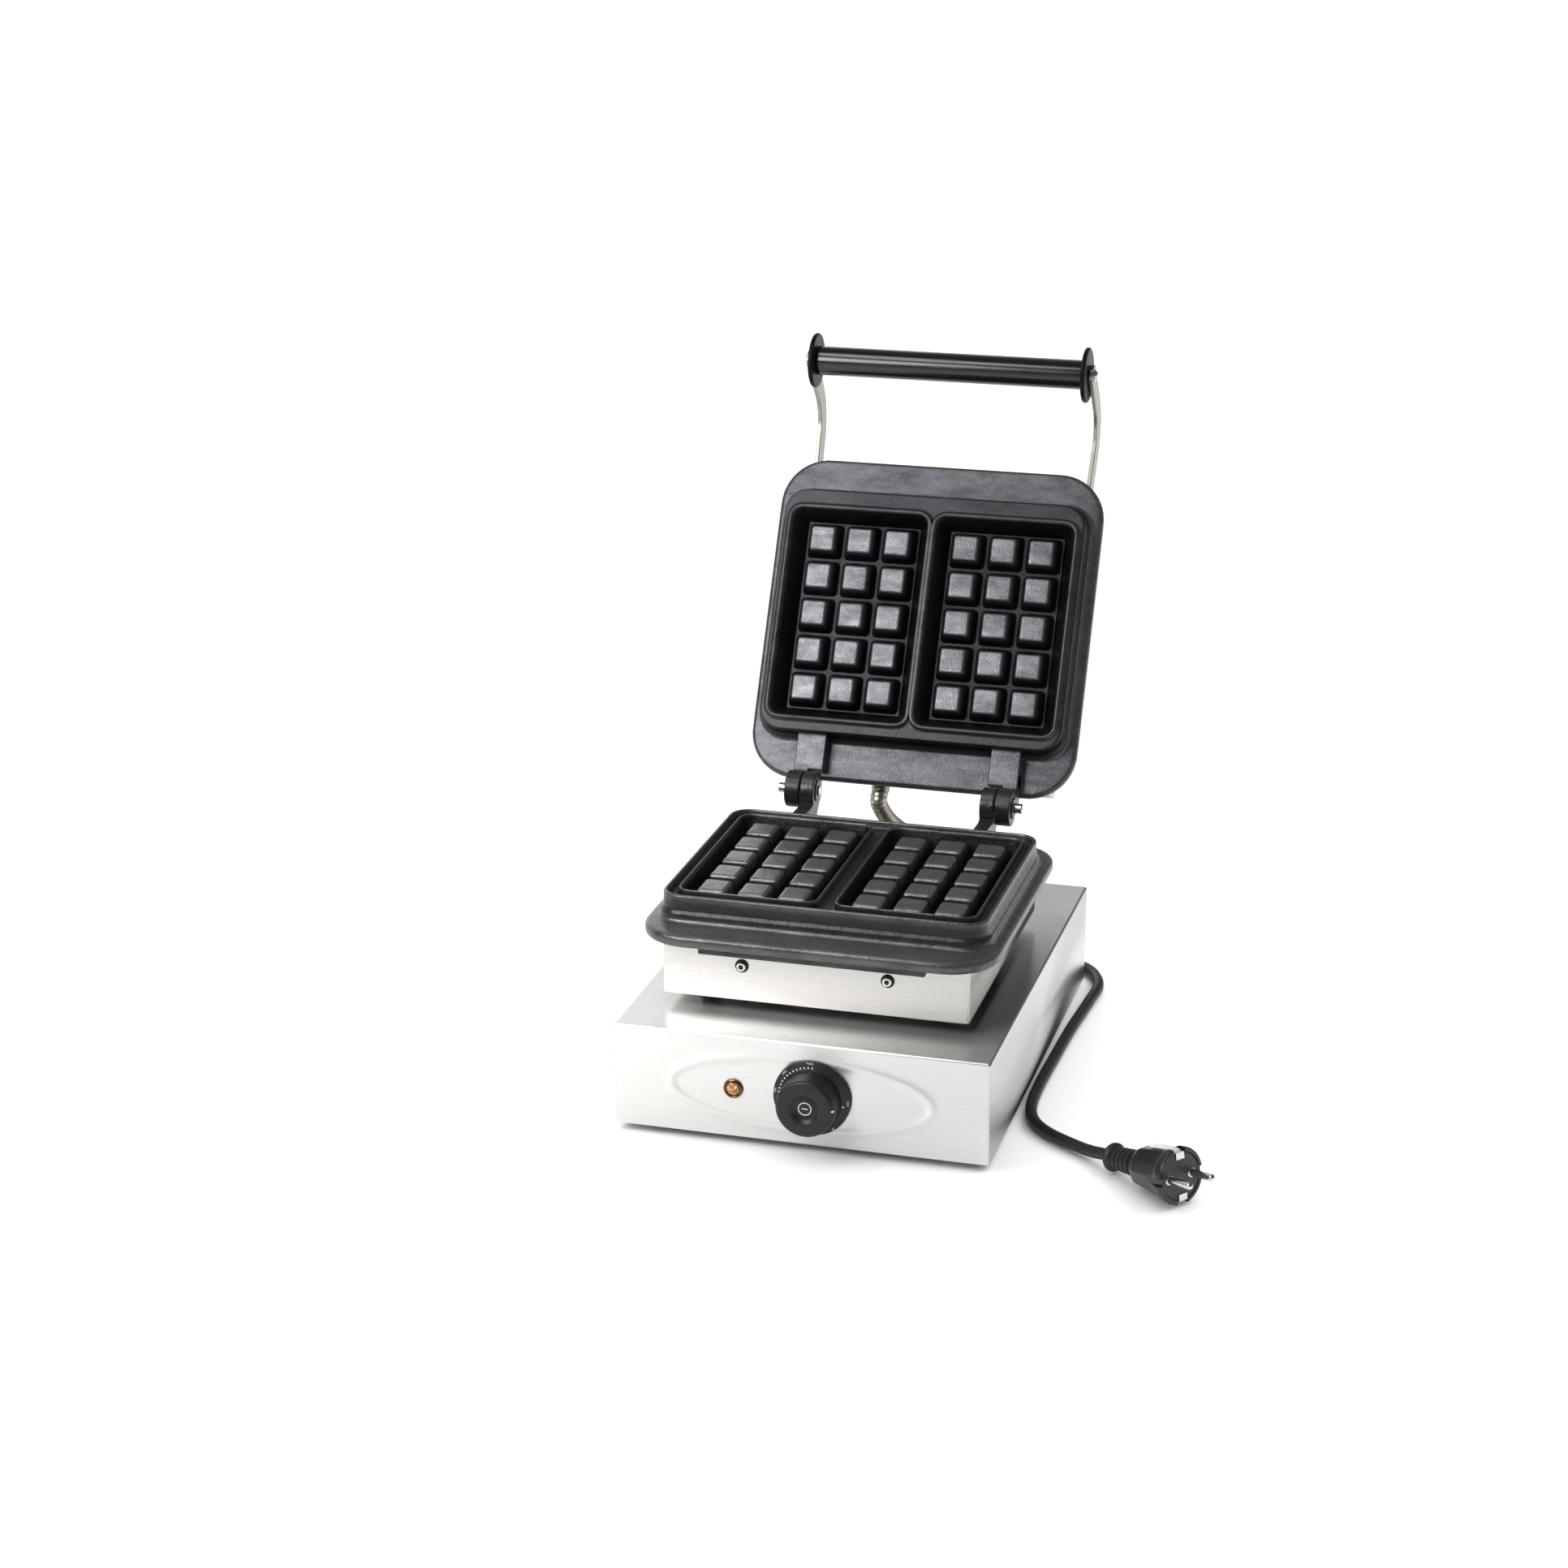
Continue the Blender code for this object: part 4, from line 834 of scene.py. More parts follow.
def block_rings(top, half, ease):
    """(half width, corner radius, height) up a block: foot fillet, leaning side, round shoulder, top."""
    rise = top - CAVITY_FLOOR
    lean = atan2(BLOCK_FOOT - half, rise - BLOCK_EASES)
    shoulder = rise - ease * (1 - sin(lean))
    rings = [(0.01300, 0.0036, 0.0), (0.01272, 0.0034, 0.00006), (0.01254, 0.0033, 0.00030)]
    for share in (0.0, 0.5, 1.0):
        rings.append((BLOCK_FOOT + (half - BLOCK_FOOT) * share, 0.0032 - 0.0014 * share,
                      BLOCK_FILLET + (shoulder - BLOCK_FILLET) * share))
    middle = half - ease * cos(lean)
    for k in range(1, 7):
        angle = lean + (pi / 2 - lean) * k / 6
        reach = middle + ease * cos(angle)
        rings.append((reach, BLOCK_CORNER * reach / half, shoulder + ease * (sin(angle) - sin(lean))))
    rings.append((middle * 0.5, 0.0004, rise + 0.00003))
    return rings


def add_blocks(shape, side, pitch, top, wide, long, ease):
    across = block_rings(top, wide, ease)
    along = block_rings(top, long, ease)
    stretch = pitch / CELL
    for column in range(COLUMNS):
        for row in range(ROWS):
            x = side * FIELD_X + (column - (COLUMNS - 1) / 2) * CELL
            y = FIELD_Y + (row - (ROWS - 1) / 2) * pitch
            rings = [rounded(x, y, CELL / 2, pitch / 2, 0, CAVITY_FLOOR, CELL_PLACES)]
            for (half, radius, rise), (other, _, _) in zip(across, along):
                if other > BLOCK_FOOT - 0.0001:
                    other *= stretch
                rings.append(rounded(x, y, half, other, radius, CAVITY_FLOOR + rise, CELL_PLACES))
            shape.skin(rings, False, True)


def middle_and_half(rect):
    x0, x1, y0, y1 = rect
    return (x0 + x1) / 2, (y0 + y1) / 2, (x1 - x0) / 2, (y1 - y0) / 2


def grown(rect, out, height):
    """The ring round a cavity at a distance outwards."""
    cx, cy, hx, hy = middle_and_half(rect)
    return rounded(cx, cy, hx + out, hy + out, CAVITY_CORNER + out, height, FIELD_PLACES)


def to_side(side, ring):
    return [(side * x, y, z) for x, y, z in ring]


def add_walls(shape, side, rect, pitch):
    """From the cavity's upper edge down to the block field. rect is (x0, x1, y0, y1) of the right cavity."""
    top = (*middle_and_half(rect), CAVITY_CORNER)
    foot = (FIELD_X, FIELD_Y, COLUMNS * CELL / 2, ROWS * pitch / 2, 0)
    rings = []
    for share, height in WALL_RINGS:
        cx, cy, hx, hy, r = (a + (b - a) * share for a, b in zip(top, foot))
        rings.append(to_side(side, rounded(cx, cy, hx, hy, max(r, 0), height, FIELD_PLACES)))
    shape.skin(rings)


def add_lip(shape, side):
    """The lip round a cavity of the lower plate."""
    shape.skin([to_side(side, grown(LOWER_RECT, out, height)) for out, height in LOWER_LIP])


def add_outside(shape, body, profile, face, under):
    """From the rim's inner edge, over it and down the body to the flange, round its edge and underneath."""
    cx, cy, hx, hy, radius = body
    rings = [rounded(cx, cy, hx - e, hy - e, max(radius - e, 0.001), z, OUTER_PLACES) for e, z in profile]
    upper = mm((3.4, 0), (2.2, -0.2), (1.2, -0.7), (0.5, -1.5), (0.1, -2.6), (0, -4.0))
    lower = mm((0, 2.6), (0.5, 1.2), (1.4, 0.3), (2.6, 0))
    edge = [(e, face + z) for e, z in upper] + [(e, under + z) for e, z in lower]
    cx, cy, hx, hy, radius = FLANGE
    rings += [rounded(cx, cy, hx - e, hy - e, radius - e, z, OUTER_PLACES) for e, z in edge]
    shape.skin(rings, False, True)


def add_upper_beads(shape, side):
    """Two beads that run together into one rib in the middle, and part at a notch at either end."""
    _, cy, _, hy = middle_and_half(UPPER_RECT)
    rings = []
    for out, height in UPPER_BEAD:
        ring = grown(UPPER_RECT, out, height)
        rings.append([(side * x, y, z * min(1, max(0.2, x / 0.004))) for x, y, z in ring])
    seam = UPPER_RECT[0] + CAVITY_CORNER
    for out, height in UPPER_BEAD_OUT:
        notch = hy - CAVITY_CORNER + sqrt((CAVITY_CORNER + out) ** 2 - seam**2)
        clipped = []
        for x, y, z in grown(UPPER_RECT, out, height):
            if x > 0:
                clipped.append((side * x, y, z))
            elif abs(y - cy) > hy - CAVITY_CORNER + 1e-6:
                clipped.append((0, cy + copysign(notch, y - cy), z))
            else:
                clipped.append(None)
        rings.append(clipped)
    shape.skin(rings)


def knuckle_and_arm(shape, side, low):
    """A hinge arm with its knuckle, the lower plate's or the upper's, with the lid shut."""
    up = 1 if low else -1
    face = HINGE_Z - up * (0.0135 if low else 0.0075)
    root = FLANGE_UNDER + 0.002 if low else UPPER_BACK - 0.002
    start = BASE_Y + 0.056
    end = BASE_Y + 0.0868
    bar = round_corners([(start, root), (end, root), (end, face), (start, face)], (0, 0.002, 0.0020, 0))
    shape.prism(bar, *sorted((side * KNUCKLE_IN, side * KNUCKLE_OUT)), 0.0010)
    circle = arc(HINGE_Y, HINGE_Z, 0.0130, -62 * up, (206 if low else 196) * up, 40)
    back = BASE_Y + 0.076
    neck = [(start if low else back, root + up * 0.001), (BASE_Y + 0.0905, root + up * 0.001),
            (BASE_Y + 0.0975, root + up * 0.0045)]
    if low:
        tail = mm((88.5, 6.8), (86.0, 6.3), (82.0, 6.3), (72.0, 6.8), (56, 7.1))
        span = (KNUCKLE_IN, 0.0699)
        boss = mm((7.8, -0.8), (7.5, -0.4), (7.0, -0.1), (4.0, -0.1))
    else:
        tail = mm((88.2, -1.2), (86.8, -0.2), (76, 0.3))
        span = (0.0707, KNUCKLE_OUT)
        boss = mm((7.8, -0.4), (7.5, 0.9), (7.0, 1.2), (4.0, 1.2))
    tail = [(BASE_Y + y, face + z) for y, z in tail]
    shape.prism(neck + circle + tail, *sorted(side * x for x in span), 0.0009)
    boss_x = side * (KNUCKLE_IN if low else KNUCKLE_OUT)
    shape.turned(boss, facing(boss_x, HINGE_Y, HINGE_Z, (side, 0, 0)), 40)


def add_lower_plate():
    shape = Shape()
    extra = Shape()
    for side in (-1, 1):
        add_blocks(shape, side, *LOWER_ROWS)
        add_walls(shape, side, LOWER_RECT, LOWER_ROWS[0])
        add_lip(shape, side)
        knuckle_and_arm(extra, side, True)
    add_outside(shape, (0, BASE_Y - 0.0275, 0.1093, 0.0893, 0.0145), LOWER_PROFILE, -0.0177, -0.0257)
    data = shape.mesh("lower_plate_cast", (LOWER_GROOVE,), 40)
    # Painted light: the lower plate's wall, flange and rim levels paint its sheen and highlights, and the
    # hinge arms' level paints theirs.
    mark(data, worn_and_lit_cast(LOWER_ROWS[1], 0.0030, 0.18, 0.50, 0.45))
    data.transform(Matrix.Translation((0, 0, MATING_Z)))
    rib = round_corners(mm((-140, 118.6), (-133, 118.6), (-133, 124.5), (-140, 124.5)), 0.0012, 3)
    extra.prism([(BASE_Y + y, z) for y, z in rib], -0.0755, 0.0755, 0.0010)
    arms = mark(extra.mesh("lower_arms"), lambda co: 0.30)
    piece("lower_casting", joined(data, arms), "base", "lower_plate", ["lower_plate"])


def add_upper_plate():
    shape = Shape()
    extra = Shape()
    for side in (-1, 1):
        add_blocks(shape, side, *UPPER_ROWS)
        add_walls(shape, side, UPPER_RECT, UPPER_ROWS[0])
        add_upper_beads(shape, side)
        knuckle_and_arm(extra, side, False)
    add_outside(shape, (0, BASE_Y - 0.0283, 0.1100, 0.0887, 0.0165), UPPER_PROFILE, -0.0205, -0.0285)
    data = shape.mesh("upper_plate_cast", (UPPER_BAND,), 40)
    # Painted light: the upper plate's body wall gets level 0 as painted shade, its flange and band a painted
    # sheen, and its arms and knuckles painted highlights.
    mark(data, worn_and_lit_cast(UPPER_ROWS[1], 0.0016, 0.0, 0.62, 0.30))
    data.transform(Matrix.Translation((0, 0, UPPER_RIM_Z)) @ Matrix.Scale(-1, 4, (0, 0, 1)))
    data.flip_normals()
    arm_end = BASE_Y + 0.0885
    arms = mark(extra.mesh("upper_arms"), lambda co: 0.30 + 0.45 * step(arm_end, arm_end - 0.0020, co.y))
    piece("upper_casting", joined(data, arms), "lid", "upper_plate", ["upper_plate"], LID)


add_lower_plate()
add_upper_plate()


# ---------------- sheet-metal boxes
SHEET = 0.0012
OVAL_X = 0.0005
OVAL_HALF_X = 0.0870
OVAL_HALF_Z = 0.0246
RIDGE_HEIGHT = 0.00070
RIDGE_WIDTH = 0.0028


def spaced(count):
    return [i / count for i in range(count)]


def with_corners(places):
    """Adds places close to each corner of the unit square."""
    ends = [side * (1 - near) for near in (0.002, 0.006, 0.011, 0.017) for side in (-1, 1)]
    extra = [(end, side) for end in ends for side in (-1.0, 1.0)]
    extra += [(side, end) for end, side in extra]

    def turn(place):
        x, y = place
        if y == -1 and x < 1:
            return (x + 1) / 2
        if x == 1 and y < 1:
            return 1 + (y + 1) / 2
        if y == 1 and x > -1:
            return 2 + (1 - x) / 2
        return 3 + (1 - y) / 2

    return sorted(set(places + extra), key=turn)


def sheet_box(x, front, rear, z_open, z_closed, radius, fold, press=None):
    """A folded sheet box; press(x, z) pushes points of the front face outwards."""
    up = 1 if z_closed > z_open else -1
    sides = spaced(12)
    places = with_corners(square(spaced(220) if press else sides, sides, sides, sides))
    levels = 56 if press else 10
    cy = (front + rear) / 2
    hy = (rear - front) / 2
    rings = [rounded(0, cy, x - SHEET, hy - SHEET, max(radius - SHEET, 0.0004), z, places)
             for z in (z_open + up * 0.02, z_open)]
    for i in range(levels + 1):
        z = z_open + (z_closed - up * fold - z_open) * i / levels
        ring = rounded(0, cy, x, hy, radius, z, places)
        if press:
            ring = [(a, b - press(a, c) if b < front + 1e-6 else b, c) for a, b, c in ring]
        rings.append(ring)
    for k in range(1, 7):
        angle = pi / 2 * k / 6
        e = fold * (1 - cos(angle))
        z = z_closed - up * fold * (1 - sin(angle))
        rings.append(rounded(0, cy, x - e, hy - e, max(radius - e * 0.4, 0.0006), z, places))
    return Shape().skin(rings, False, True)


def oval_press(x, z):
    """The soft oval ridge round the controls."""
    u = (x - OVAL_X) / OVAL_HALF_X
    v = (z - OVAL_Z) / OVAL_HALF_Z
    reach = hypot(u, v)
    if reach < 1e-6:
        return 0
    slope = hypot(u / OVAL_HALF_X, v / OVAL_HALF_Z) / reach
    distance = (reach - 1) / slope
    return RIDGE_HEIGHT * exp(-((distance / RIDGE_WIDTH) ** 2))


def add_housings():
    base = sheet_box(BASE_X, BASE_FRONT, BASE_REAR, BASE_BOTTOM, BASE_TOP, 0.0016, 0.0016, oval_press)
    piece("base_shell", base, "base", "base", ["base_housing"])
    heater = sheet_box(HOUSING_X, HOUSING_FRONT, HOUSING_REAR, FLANGE_UNDER - GAP, HOUSING_Z, 0.0010, 0.0012)
    piece("heater_shell", heater, "base", "housing", ["lower_housing"])
    cover = sheet_box(COVER_X, HOUSING_FRONT, HOUSING_REAR, UPPER_BACK + GAP, COVER_TOP, 0.0016, 0.0022)
    piece("cover_shell", cover, "lid", "cover", ["upper_cover"], LID)


def hexagon(place, corner, height, sides=36):
    """Points round a hexagon, from its middle to its corners as far as the second value says."""
    ring = []
    for k, angle in enumerate(angles(sides)):
        sector = (k * 6 / sides) % 1 - 0.5
        ring.append(place @ spot(corner * cos(pi / 6) / cos(sector * pi / 3), angle, height))
    return ring


def add_screws():
    """Hex-socket button heads on dark washers, on the heater housing's front, with a dark hexagon of painted
    shade in each socket.
    """
    for name, side in (("left", -1), ("right", 1)):
        place = facing(side * HOUSING_SCREW_X, HOUSING_FRONT, HOUSING_SCREW_Z, (0, -1, 0))
        washer = mm((2.8, -0.6), (4.5, -0.6), (4.5, 0.6), (4.2, 1.0), (3.2, 1.0), (2.8, 0.6))
        piece(f"housing_washer_{name}", Shape().turned(washer, place, 40, True), "base", "dark")
        head = mm((3.1, 0.9), (3.3, 1.4), (3.2, 2.1), (2.8, 2.7), (2.2, 2.9))
        bolt = Shape().turned(head, place, 36, cap_end=False)
        rings = [[place @ spot(0.0022, angle, 0.0029) for angle in angles(36)]]
        bolt.skin(rings + [hexagon(place, 0.0019, h) for h in (0.0028, 0.0015)], False, True)
        piece(f"housing_bolt_{name}", bolt, "base", "turned", [f"housing_screw_{name}"])
        # A dark hexagon in the socket's pit paints the shade there.
        socket = Shape().skin([hexagon(place, 0.00175, h) for h in (0.0016, 0.0021)], True, True)
        piece(f"housing_socket_{name}", socket, "base", "dark")


add_housings()
add_screws()

# ---------------- controls
SKIRT_OUT = (0.0252, 0.0031)
SKIRT_IN = (0.0206, 0.0046)


def skirt_height(radius):
    """Height of the dial's sloping face at a radius."""
    return SKIRT_OUT[1] + (SKIRT_OUT[0] - radius) / (SKIRT_OUT[0] - SKIRT_IN[0]) * 0.0015


def add_tick(shape, axis, angle, inner, outer, half, low=None, high=None):
    """A painted mark; with low and high it lies on the knob's side."""
    along = Vector((cos(angle), sin(angle), 0))
    across = Vector((-sin(angle), cos(angle), 0))
    corners = [along * radius + across * half * side
               for radius, side in ((inner, -1), (outer, -1), (outer, 1), (inner, 1))]
    if low is None:
        tops = [skirt_height(radius) for radius in (inner, outer, outer, inner)]
        rings = [[axis @ Vector((c.x, c.y, z + lift)) for c, z in zip(corners, tops)]
                 for lift in (-0.0003, 0.00006)]
    else:
        rings = [[axis @ Vector((c.x, c.y, z)) for c in corners] for z in (low, high)]
    shape.skin(rings, True, True)


def number_mesh(words, axis, angle, size):
    """A number laid on the dial's sloping face, reading from the middle outwards."""
    radius = 0.0238
    data = bpy.data.curves.new("number", "FONT")
    data.body = words
    data.size = size
    data.align_x = "CENTER"
    data.align_y = "CENTER"
    data.extrude = 0.00012
    data.resolution_u = 3
    holder = added("number", data)
    graph = bpy.context.evaluated_depsgraph_get()
    made = bpy.data.meshes.new_from_object(holder.evaluated_get(graph))
    bpy.data.objects.remove(holder, do_unlink=True)
    place = Matrix.Translation(spot(radius, angle, skirt_height(radius)))
    made.transform(axis @ place @ Matrix.Rotation(angle - pi / 2, 4, "Z") @ Matrix.Rotation(0.30, 4, "X"))
    return made


def add_knob():
    axis = facing(KNOB_X, BASE_FRONT, KNOB_Z, (0, -1, 0))
    profile = mm((3.4, 10.0), (3.4, 1.2), (25.0, 1.2), (25.6, 1.6), (25.6, 2.6), (25.2, 3.1), (20.6, 4.6),
                 (20.2, 5.0), (19.9, 6.0), (19.5, 19.0), (19.2, 20.3), (18.5, 21.3), (17.5, 21.8),
                 (16.0, 22.0), (12.0, 21.9), (10.4, 21.7), (9.6, 21.3), (8.8, 20.6), (8.0, 19.9),
                 (7.3, 19.5), (6.6, 19.3), (6.6, 18.9))
    knob = Shape().turned(profile, axis, 96)
    piece("dial_knob", knob, "knob", "knob", ["thermostat_knob"], angle=50)
    cap = Shape().turned(mm((6.4, 18.6), (6.4, 19.4), (6.1, 19.6), (4.0, 19.7)), axis)
    piece("knob_plate", cap, "knob", "knob", ["knob_cap"])
    marks = Shape().turned(mm((3.9, 19.5), (3.9, 19.85), (4.4, 19.85), (4.4, 19.5)), axis, loop=True)
    dash = [axis @ Vector((x, y, 0.0196)) for x, y in mm((-2, -0.3), (2, -0.3), (2, 0.3), (-2, 0.3))]
    lift = axis.to_3x3() @ Vector((0, 0, 0.00025))
    marks.skin([dash, [corner + lift for corner in dash]], True, True)
    for k in range(13):
        add_tick(marks, axis, radians(172 - 7.0 * k), 0.0212, 0.0222, 0.00042)
    add_tick(marks, axis, radians(-8), 0.0208, 0.0220, 0.00045)
    add_tick(marks, axis, radians(-66), 0.0210, 0.0218, 0.00040)
    add_tick(marks, axis, radians(3), 0.01770, 0.01935, 0.00040, 0.0195, 0.02165)
    scale = marks.mesh("dial_marks")
    texts = (("50", 172, 0.0032), ("100", 138, 0.0030), ("200", 92, 0.0031), ("300", -1, 0.0026),
             ("0", -53, 0.0032))
    numbers = [number_mesh(words, axis, radians(degrees), size) for words, degrees, size in texts]
    piece("dial_scale", joined(scale, *numbers), "knob", "white", weighted=False)


def add_lamp():
    axis = facing(LAMP_X, BASE_FRONT, LAMP_Z, (0, -1, 0))
    profile = mm((4.6, -4), (5.4, -4), (5.4, 0.3), (6.4, 0.3), (6.6, 0.7), (6.5, 1.2), (6.0, 1.7), (5.3, 1.9),
                 (4.9, 1.6), (4.6, 0.8))
    piece("lamp_rim", Shape().turned(profile, axis, 56, True), "base", "bezel", ["lamp_bezel"])
    rings = []
    for radius, height in mm((4.5, -3), (4.5, 0.8), (4.4, 1.4), (3.6, 2.2), (2.2, 2.7), (0.8, 2.9)):
        ripple = 0.00022 if 0.001 < radius < 0.0044 else 0
        rings.append([axis @ spot(radius, angle, height + ripple * cos(12 * angle)) for angle in angles(48)])
    piece("lamp_dome", Shape().skin(rings, True, True), "base", "lens", ["lamp_lens"], angle=18)


add_knob()
add_lamp()

# ---------------- handle
BAR_THICK = 0.003
BAR_HALF = 0.0075
BAR_Z = 0.199
BAR_X = 0.1020
BAR_SPLAY = 0.0022
BEND = radians(68)
BEND_RADIUS = 0.0333
BEND_Y = BASE_Y - 0.168
GRIP_HALF = 0.0974


def handle_bar(side):
    """A flat bar along the cover, bent down to the grip and spread a little towards it."""
    stations = []
    for k in range(13):
        y = BASE_Y + 0.078 + (HOUSING_FRONT - BASE_Y - 0.078) * k / 12
        stations.append((y, BAR_Z, 0.0, BAR_HALF))
    for k in range(25):
        angle = BEND * k / 24
        y = BEND_Y - BEND_RADIUS * sin(angle)
        stations.append((y, BAR_Z - BEND_RADIUS + BEND_RADIUS * cos(angle), angle, BAR_HALF))
    for k in range(1, 16):
        turn = pi / 2 * k / 16
        reach = BAR_HALF * sin(turn)
        y = HANDLE_Y - reach * cos(BEND)
        stations.append((y, HANDLE_Z - reach * sin(BEND), BEND, BAR_HALF * cos(turn)))
    rings = []
    for y, z, angle, half in stations:
        share = min(1.0, max(0.0, (HOUSING_FRONT - y) / (HOUSING_FRONT - HANDLE_Y)))
        near = BAR_X - BAR_SPLAY * (1 - share)
        far = near + BAR_THICK
        bevel = min(0.00045, half / 3)
        across = Vector((0, -sin(angle), cos(angle)))
        outline = ((near, half - bevel), (near + bevel, half), (far - bevel, half), (far, half - bevel),
                   (far, bevel - half), (far - bevel, -half), (near + bevel, -half), (near, bevel - half))
        rings.append([Vector((side * x, y, z)) + across * up for x, up in outline])
    return Shape().skin(rings, True, True)


def add_grip():
    half = [(0.0105, 0.001), (0.0103, 0.0003), (0.0098, 0.0), (0.0046, 0.0)]
    profile = [(r, -GRIP_HALF + e) for r, e in reversed(half)]
    profile += [(0.0105, -GRIP_HALF + 0.001 + (2 * GRIP_HALF - 0.002) * k / 12) for k in range(1, 12)]
    profile += [(r, GRIP_HALF - e) for r, e in half]
    grip = Shape().turned(profile, facing(0, HANDLE_Y, HANDLE_Z, (1, 0, 0)), 64, True)
    piece("grip_tube", grip, "lid", "grip", ["handle_grip"], LID)


def add_handle_end(name, side):
    """The disc, bar, nut and bar screws of one side."""
    profile = mm((4.1, 0.3), (18.5, 0.3), (19.2, 0.6), (19.7, 1.3), (19.7, 2.7), (19.2, 3.4), (18.4, 3.8),
                 (13.0, 4.0), (4.1, 4.0))
    disc = Shape().turned(profile, facing(side * GRIP_HALF, HANDLE_Y, HANDLE_Z, (side, 0, 0)), 64, True)
    piece(f"grip_disc_{name}", disc, "lid", "disc", [f"handle_disc_{name}"], LID)
    piece(f"grip_bar_{name}", handle_bar(side), "lid", "bar", [f"handle_bar_{name}"], LID)
    outer = side * (BAR_X + BAR_THICK)
    place = facing(outer, HANDLE_Y, HANDLE_Z, (side, 0, 0))
    nut = Shape().turned(mm((4.0, 0), (4.2, 0.3), (4.2, 0.6), (3.9, 0.9), (3.1, 0.9)), place, 40)
    nut.turned(mm((3.1, 0.6), (3.2, 1.3), (3.0, 1.9), (2.4, 2.3), (1.2, 2.4)), place, 40)
    piece(f"grip_nut_{name}", nut, "lid", "turned", [f"handle_screw_{name}"], LID)
    profile = mm((4.0, 0.1), (4.1, 0.5), (3.9, 1.0), (3.3, 1.6), (2.2, 2.0), (1.8, 2.0), (1.6, 1.2))
    for end, y in (("front", BASE_Y - 0.100), ("rear", BASE_Y + 0.055)):
        head = Shape().turned(profile, facing(outer - side * BAR_SPLAY, y, BAR_Z, (side, 0, 0)), 32)
        piece(f"bar_bolt_{end}_{name}", head, "lid", "turned", [f"bar_screw_{end}_{name}"], LID)


add_grip()
add_handle_end("left", -1)
add_handle_end("right", 1)

# ---------------- hinge pins, glands and hose
HOSE_R = 0.0062
HOSE_GROOVE = 0.00075
HOSE_PITCH = 0.0033


def add_pins():
    profile = mm((3.0, -1.8), (3.5, -1.3), (3.5, 27.6), (3.3, 28.2), (2.9, 28.5), (1.2, 28.5), (0.8, 27.9))
    for name, side in (("left", -1), ("right", 1)):
        pin = Shape().turned(profile, facing(side * KNUCKLE_IN, HINGE_Y, HINGE_Z, (side, 0, 0)), 40)
        piece(f"hinge_bolt_{name}", pin, "base", "turned", [f"hinge_pin_{name}"])


def gland_shape(place):
    """A low hexagonal nut and a ferrule, ringed, in which the hose ends."""
    rings = [hexagon(place, reach, height, 48)
             for reach, height in mm((9.0, 0.3), (9.4, 0.6), (9.4, 3.0), (9.0, 3.5))]
    ferrule = mm((6.8, 3.7), (6.6, 4.0), (6.6, 4.8), (6.0, 5.0), (6.0, 5.4), (6.6, 5.6), (6.6, 6.6),
                 (6.0, 6.8), (6.0, 7.2), (6.5, 7.4), (6.4, 8), (5.6, 8))
    rings += [[place @ spot(reach, angle, height) for angle in angles(48)] for reach, height in ferrule]
    return Shape().skin(rings, True, True)


def add_glands():
    low = gland_shape(facing(HOSE_X, BASE_REAR, HOSE_LOW_Z, (0, 1, 0)))
    piece("gland_base", low, "base", "hose", ["hose_gland_base"])
    high = gland_shape(facing(HOSE_X, HOUSING_REAR, HOSE_HIGH_Z, (0, 1, 0)))
    piece("gland_lid", high, "lid", "hose", ["hose_gland_lid"], LID)


def hose_route():
    start = BASE_REAR + GLAND + GAP
    route = [(HOSE_X, start, HOSE_LOW_Z), (HOSE_X, start + 0.009, HOSE_LOW_Z)]
    route += [(HOSE_X + x, BASE_REAR + y, z) for x, y, z in (
        (0, 0.037, 0.053), (0.0022, 0.047, 0.070), (0.0052, 0.038, 0.088), (0.0058, 0.014, 0.101),
        (0.0030, -0.009, 0.116))]
    reaches = (0.009, GAP)
    return route + [LID @ Vector((HOSE_X, HOUSING_REAR + GLAND + reach, HOSE_HIGH_Z)) for reach in reaches]


def add_hose():
    """A spiral-wound hose: a tube whose radius ripples once for each turn of the strip."""
    path = smooth_route(hose_route(), 0.00055)
    rings = []
    travelled = 0.0
    side = Vector((1, 0, 0))
    for i, point in enumerate(path):
        before = path[max(i - 1, 0)]
        after = path[min(i + 1, len(path) - 1)]
        other = (after - before).normalized().cross(side).normalized()
        travelled += (point - before).length
        ring = []
        for angle in angles(24):
            phase = (travelled / HOSE_PITCH - angle / (2 * pi)) % 1
            radius = HOSE_R - HOSE_GROOVE * abs(2 * phase - 1) ** 3
            ring.append(point + side * (radius * cos(angle)) + other * (radius * sin(angle)))
        rings.append(ring)
    tube = Shape().skin(rings, True, True)
    hose = piece("spiral_hose", tube, None, "hose", ["wire_hose"], angle=60, weighted=False)
    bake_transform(hose)


add_pins()
add_glands()
add_hose()

# ---------------- CAD nodes that stay
KEPT = {
    "base_bottom_plate": "plain", "wire_duct": "turned", "lower_heating_element": "element",
    "upper_heating_element": "element", "lower_insulation": "wool", "upper_insulation": "wool",
    "temperature_probe": "copper", "thermostat_body": "moulding", "terminal_block": "moulding",
    "safety_limiter": "disc", "thermostat_shaft": "turned", "handle_rod": "turned",
}
for end in ("front", "rear"):
    for hand in ("left", "right"):
        KEPT[f"foot_{end}_{hand}"] = "foot"
        KEPT[f"standoff_{end}_{hand}"] = "disc"
for node, key in KEPT.items():
    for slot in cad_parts[node].material_slots:
        slot.material = MAT[key]


# ---------------- floor, light and backdrop
def add_stage():
    half = 40.0
    sheet = bpy.data.meshes.new("floor")
    corners = [(-half, -half, 0), (half, -half, 0), (half, half, 0), (-half, half, 0)]
    sheet.from_pydata(corners, [], [(0, 1, 2, 3)])
    paper = Surface("floor_paper")
    paper.set("Base Color", (0.90, 0.90, 0.90, 1))
    paper.set("Roughness", 0.9)
    paper.set("Specular IOR Level", 0.1)
    sheet.materials.append(paper.material)
    floor = added("floor", sheet)
    floor.location.z = -0.0006


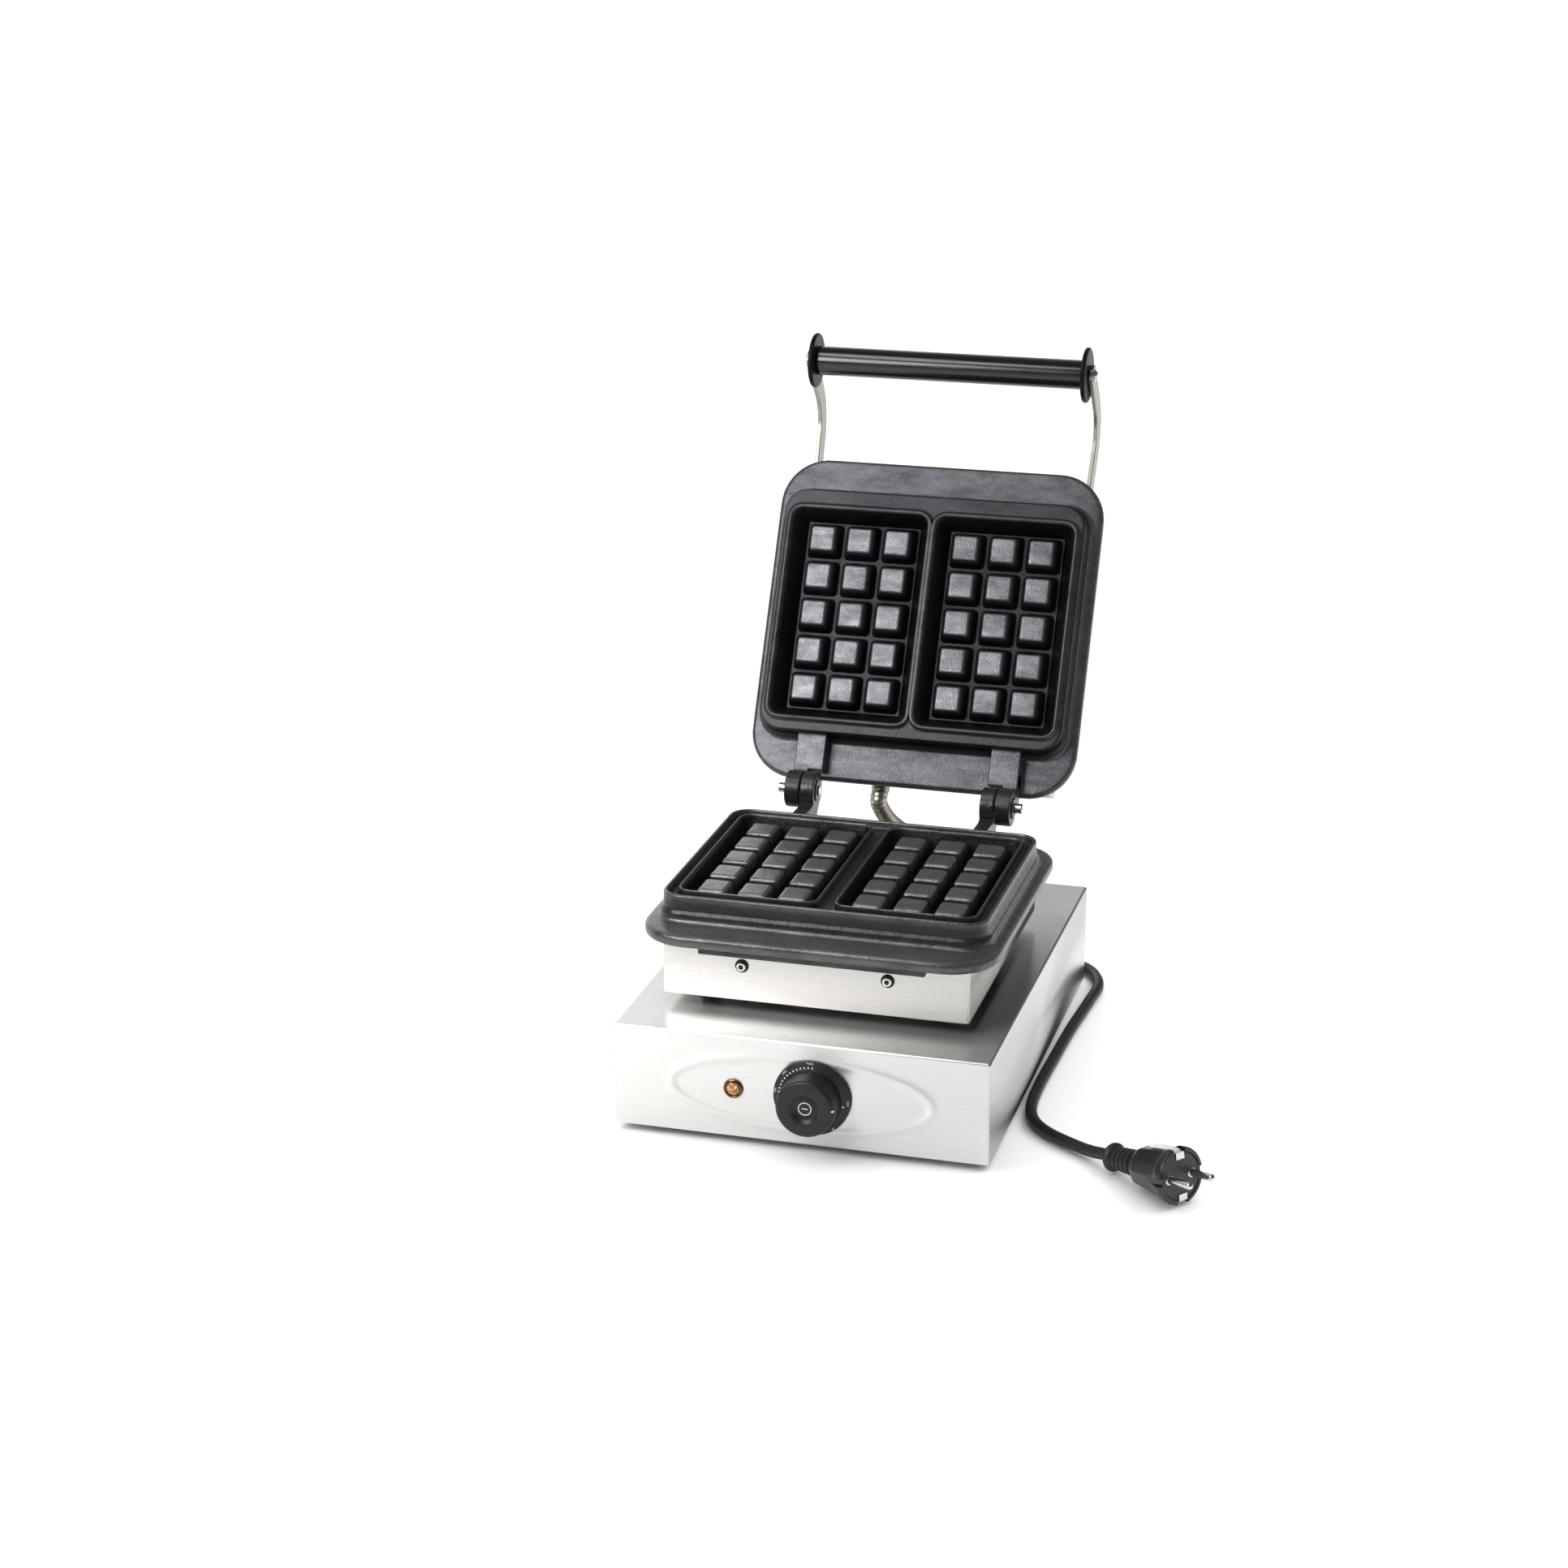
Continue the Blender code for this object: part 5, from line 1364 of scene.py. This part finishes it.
def add_softbox(name, place, target, size, radiance, glossy=True, diffuse=True):
    """A rectangular softbox of the given brightness, aimed at the target."""
    data = bpy.data.lights.new(name, "AREA")
    data.shape = "RECTANGLE"
    data.size, data.size_y = size
    data.energy = radiance * pi * size[0] * size[1]
    obj = added(name, data)
    obj.location = place
    aim(obj, Vector(target) - Vector(place))
    obj.visible_camera = False
    obj.visible_glossy = glossy
    obj.visible_diffuse = diffuse


def add_overhead():
    """Even light on the table from above; the machine's gloss does not show it."""
    data = bpy.data.lights.new("overhead", "SUN")
    data.energy = 2.9
    data.angle = radians(110)
    obj = added("overhead", data)
    obj.rotation_euler = (radians(4), radians(9), 0)
    obj.visible_glossy = False


def add_world(wall, dim):
    """The studio round the table: white low down at the back left, dim elsewhere."""
    world = bpy.data.worlds.new("studio")
    world.use_nodes = True
    nodes = world.node_tree.nodes
    links = world.node_tree.links
    place = nodes.new("ShaderNodeTexCoord")
    split = nodes.new("ShaderNodeSeparateXYZ")
    links.new(place.outputs["Generated"], split.inputs["Vector"])

    def remap(source, *span):
        node = nodes.new("ShaderNodeMapRange")
        node.interpolation_type = "SMOOTHSTEP"
        links.new(split.outputs[source], node.inputs["Value"])
        for key, value in zip(("From Min", "From Max", "To Min", "To Max"), span):
            node.inputs[key].default_value = value
        return node.outputs["Result"]

    def combine(kind, first, second):
        node = nodes.new("ShaderNodeMath")
        node.operation = kind
        links.new(first, node.inputs[0])
        if isinstance(second, float):
            node.inputs[1].default_value = second
        else:
            links.new(second, node.inputs[1])
        return node.outputs[0]

    back = remap("Y", -0.25, 0.45, 0.0, wall)
    left = remap("X", -0.38, 0.10, 1.0, 0.06)
    low = remap("Z", 0.45, 0.80, 1.0, 0.14)
    glow = combine("MULTIPLY", combine("MULTIPLY", back, left), low)
    links.new(combine("ADD", glow, dim), nodes["Background"].inputs["Strength"])
    nodes["Background"].inputs["Color"].default_value = (1, 1, 1, 1)
    bpy.context.scene.world = world


add_stage()
add_world(wall=1.50, dim=0.09)
add_overhead()
add_softbox("key", (-0.64, -0.99, 0.98), (0, 0, 0.2), (0.72, 0.60), 13.5, True, False)
add_softbox("overhead_strip", (-0.30, -0.35, 1.35), (0, -0.1, 0.1), (0.5, 0.35), 7.0, True, False)
add_softbox("spill", (-0.60, -0.58, 0.48), (-0.15, -0.35, 0), (0.4, 0.4), 7.5, False, True)
add_softbox("side", (0.80, 0.10, 0.80), (0.3, 0.1, 0), (0.5, 0.5), 3.2, False, True)
add_softbox("backdrop", (0, 4.5, 3.0), (0, 4.5, 0), (8, 5), 1.2, False)
bpy.context.scene.view_settings.view_transform = "Standard"
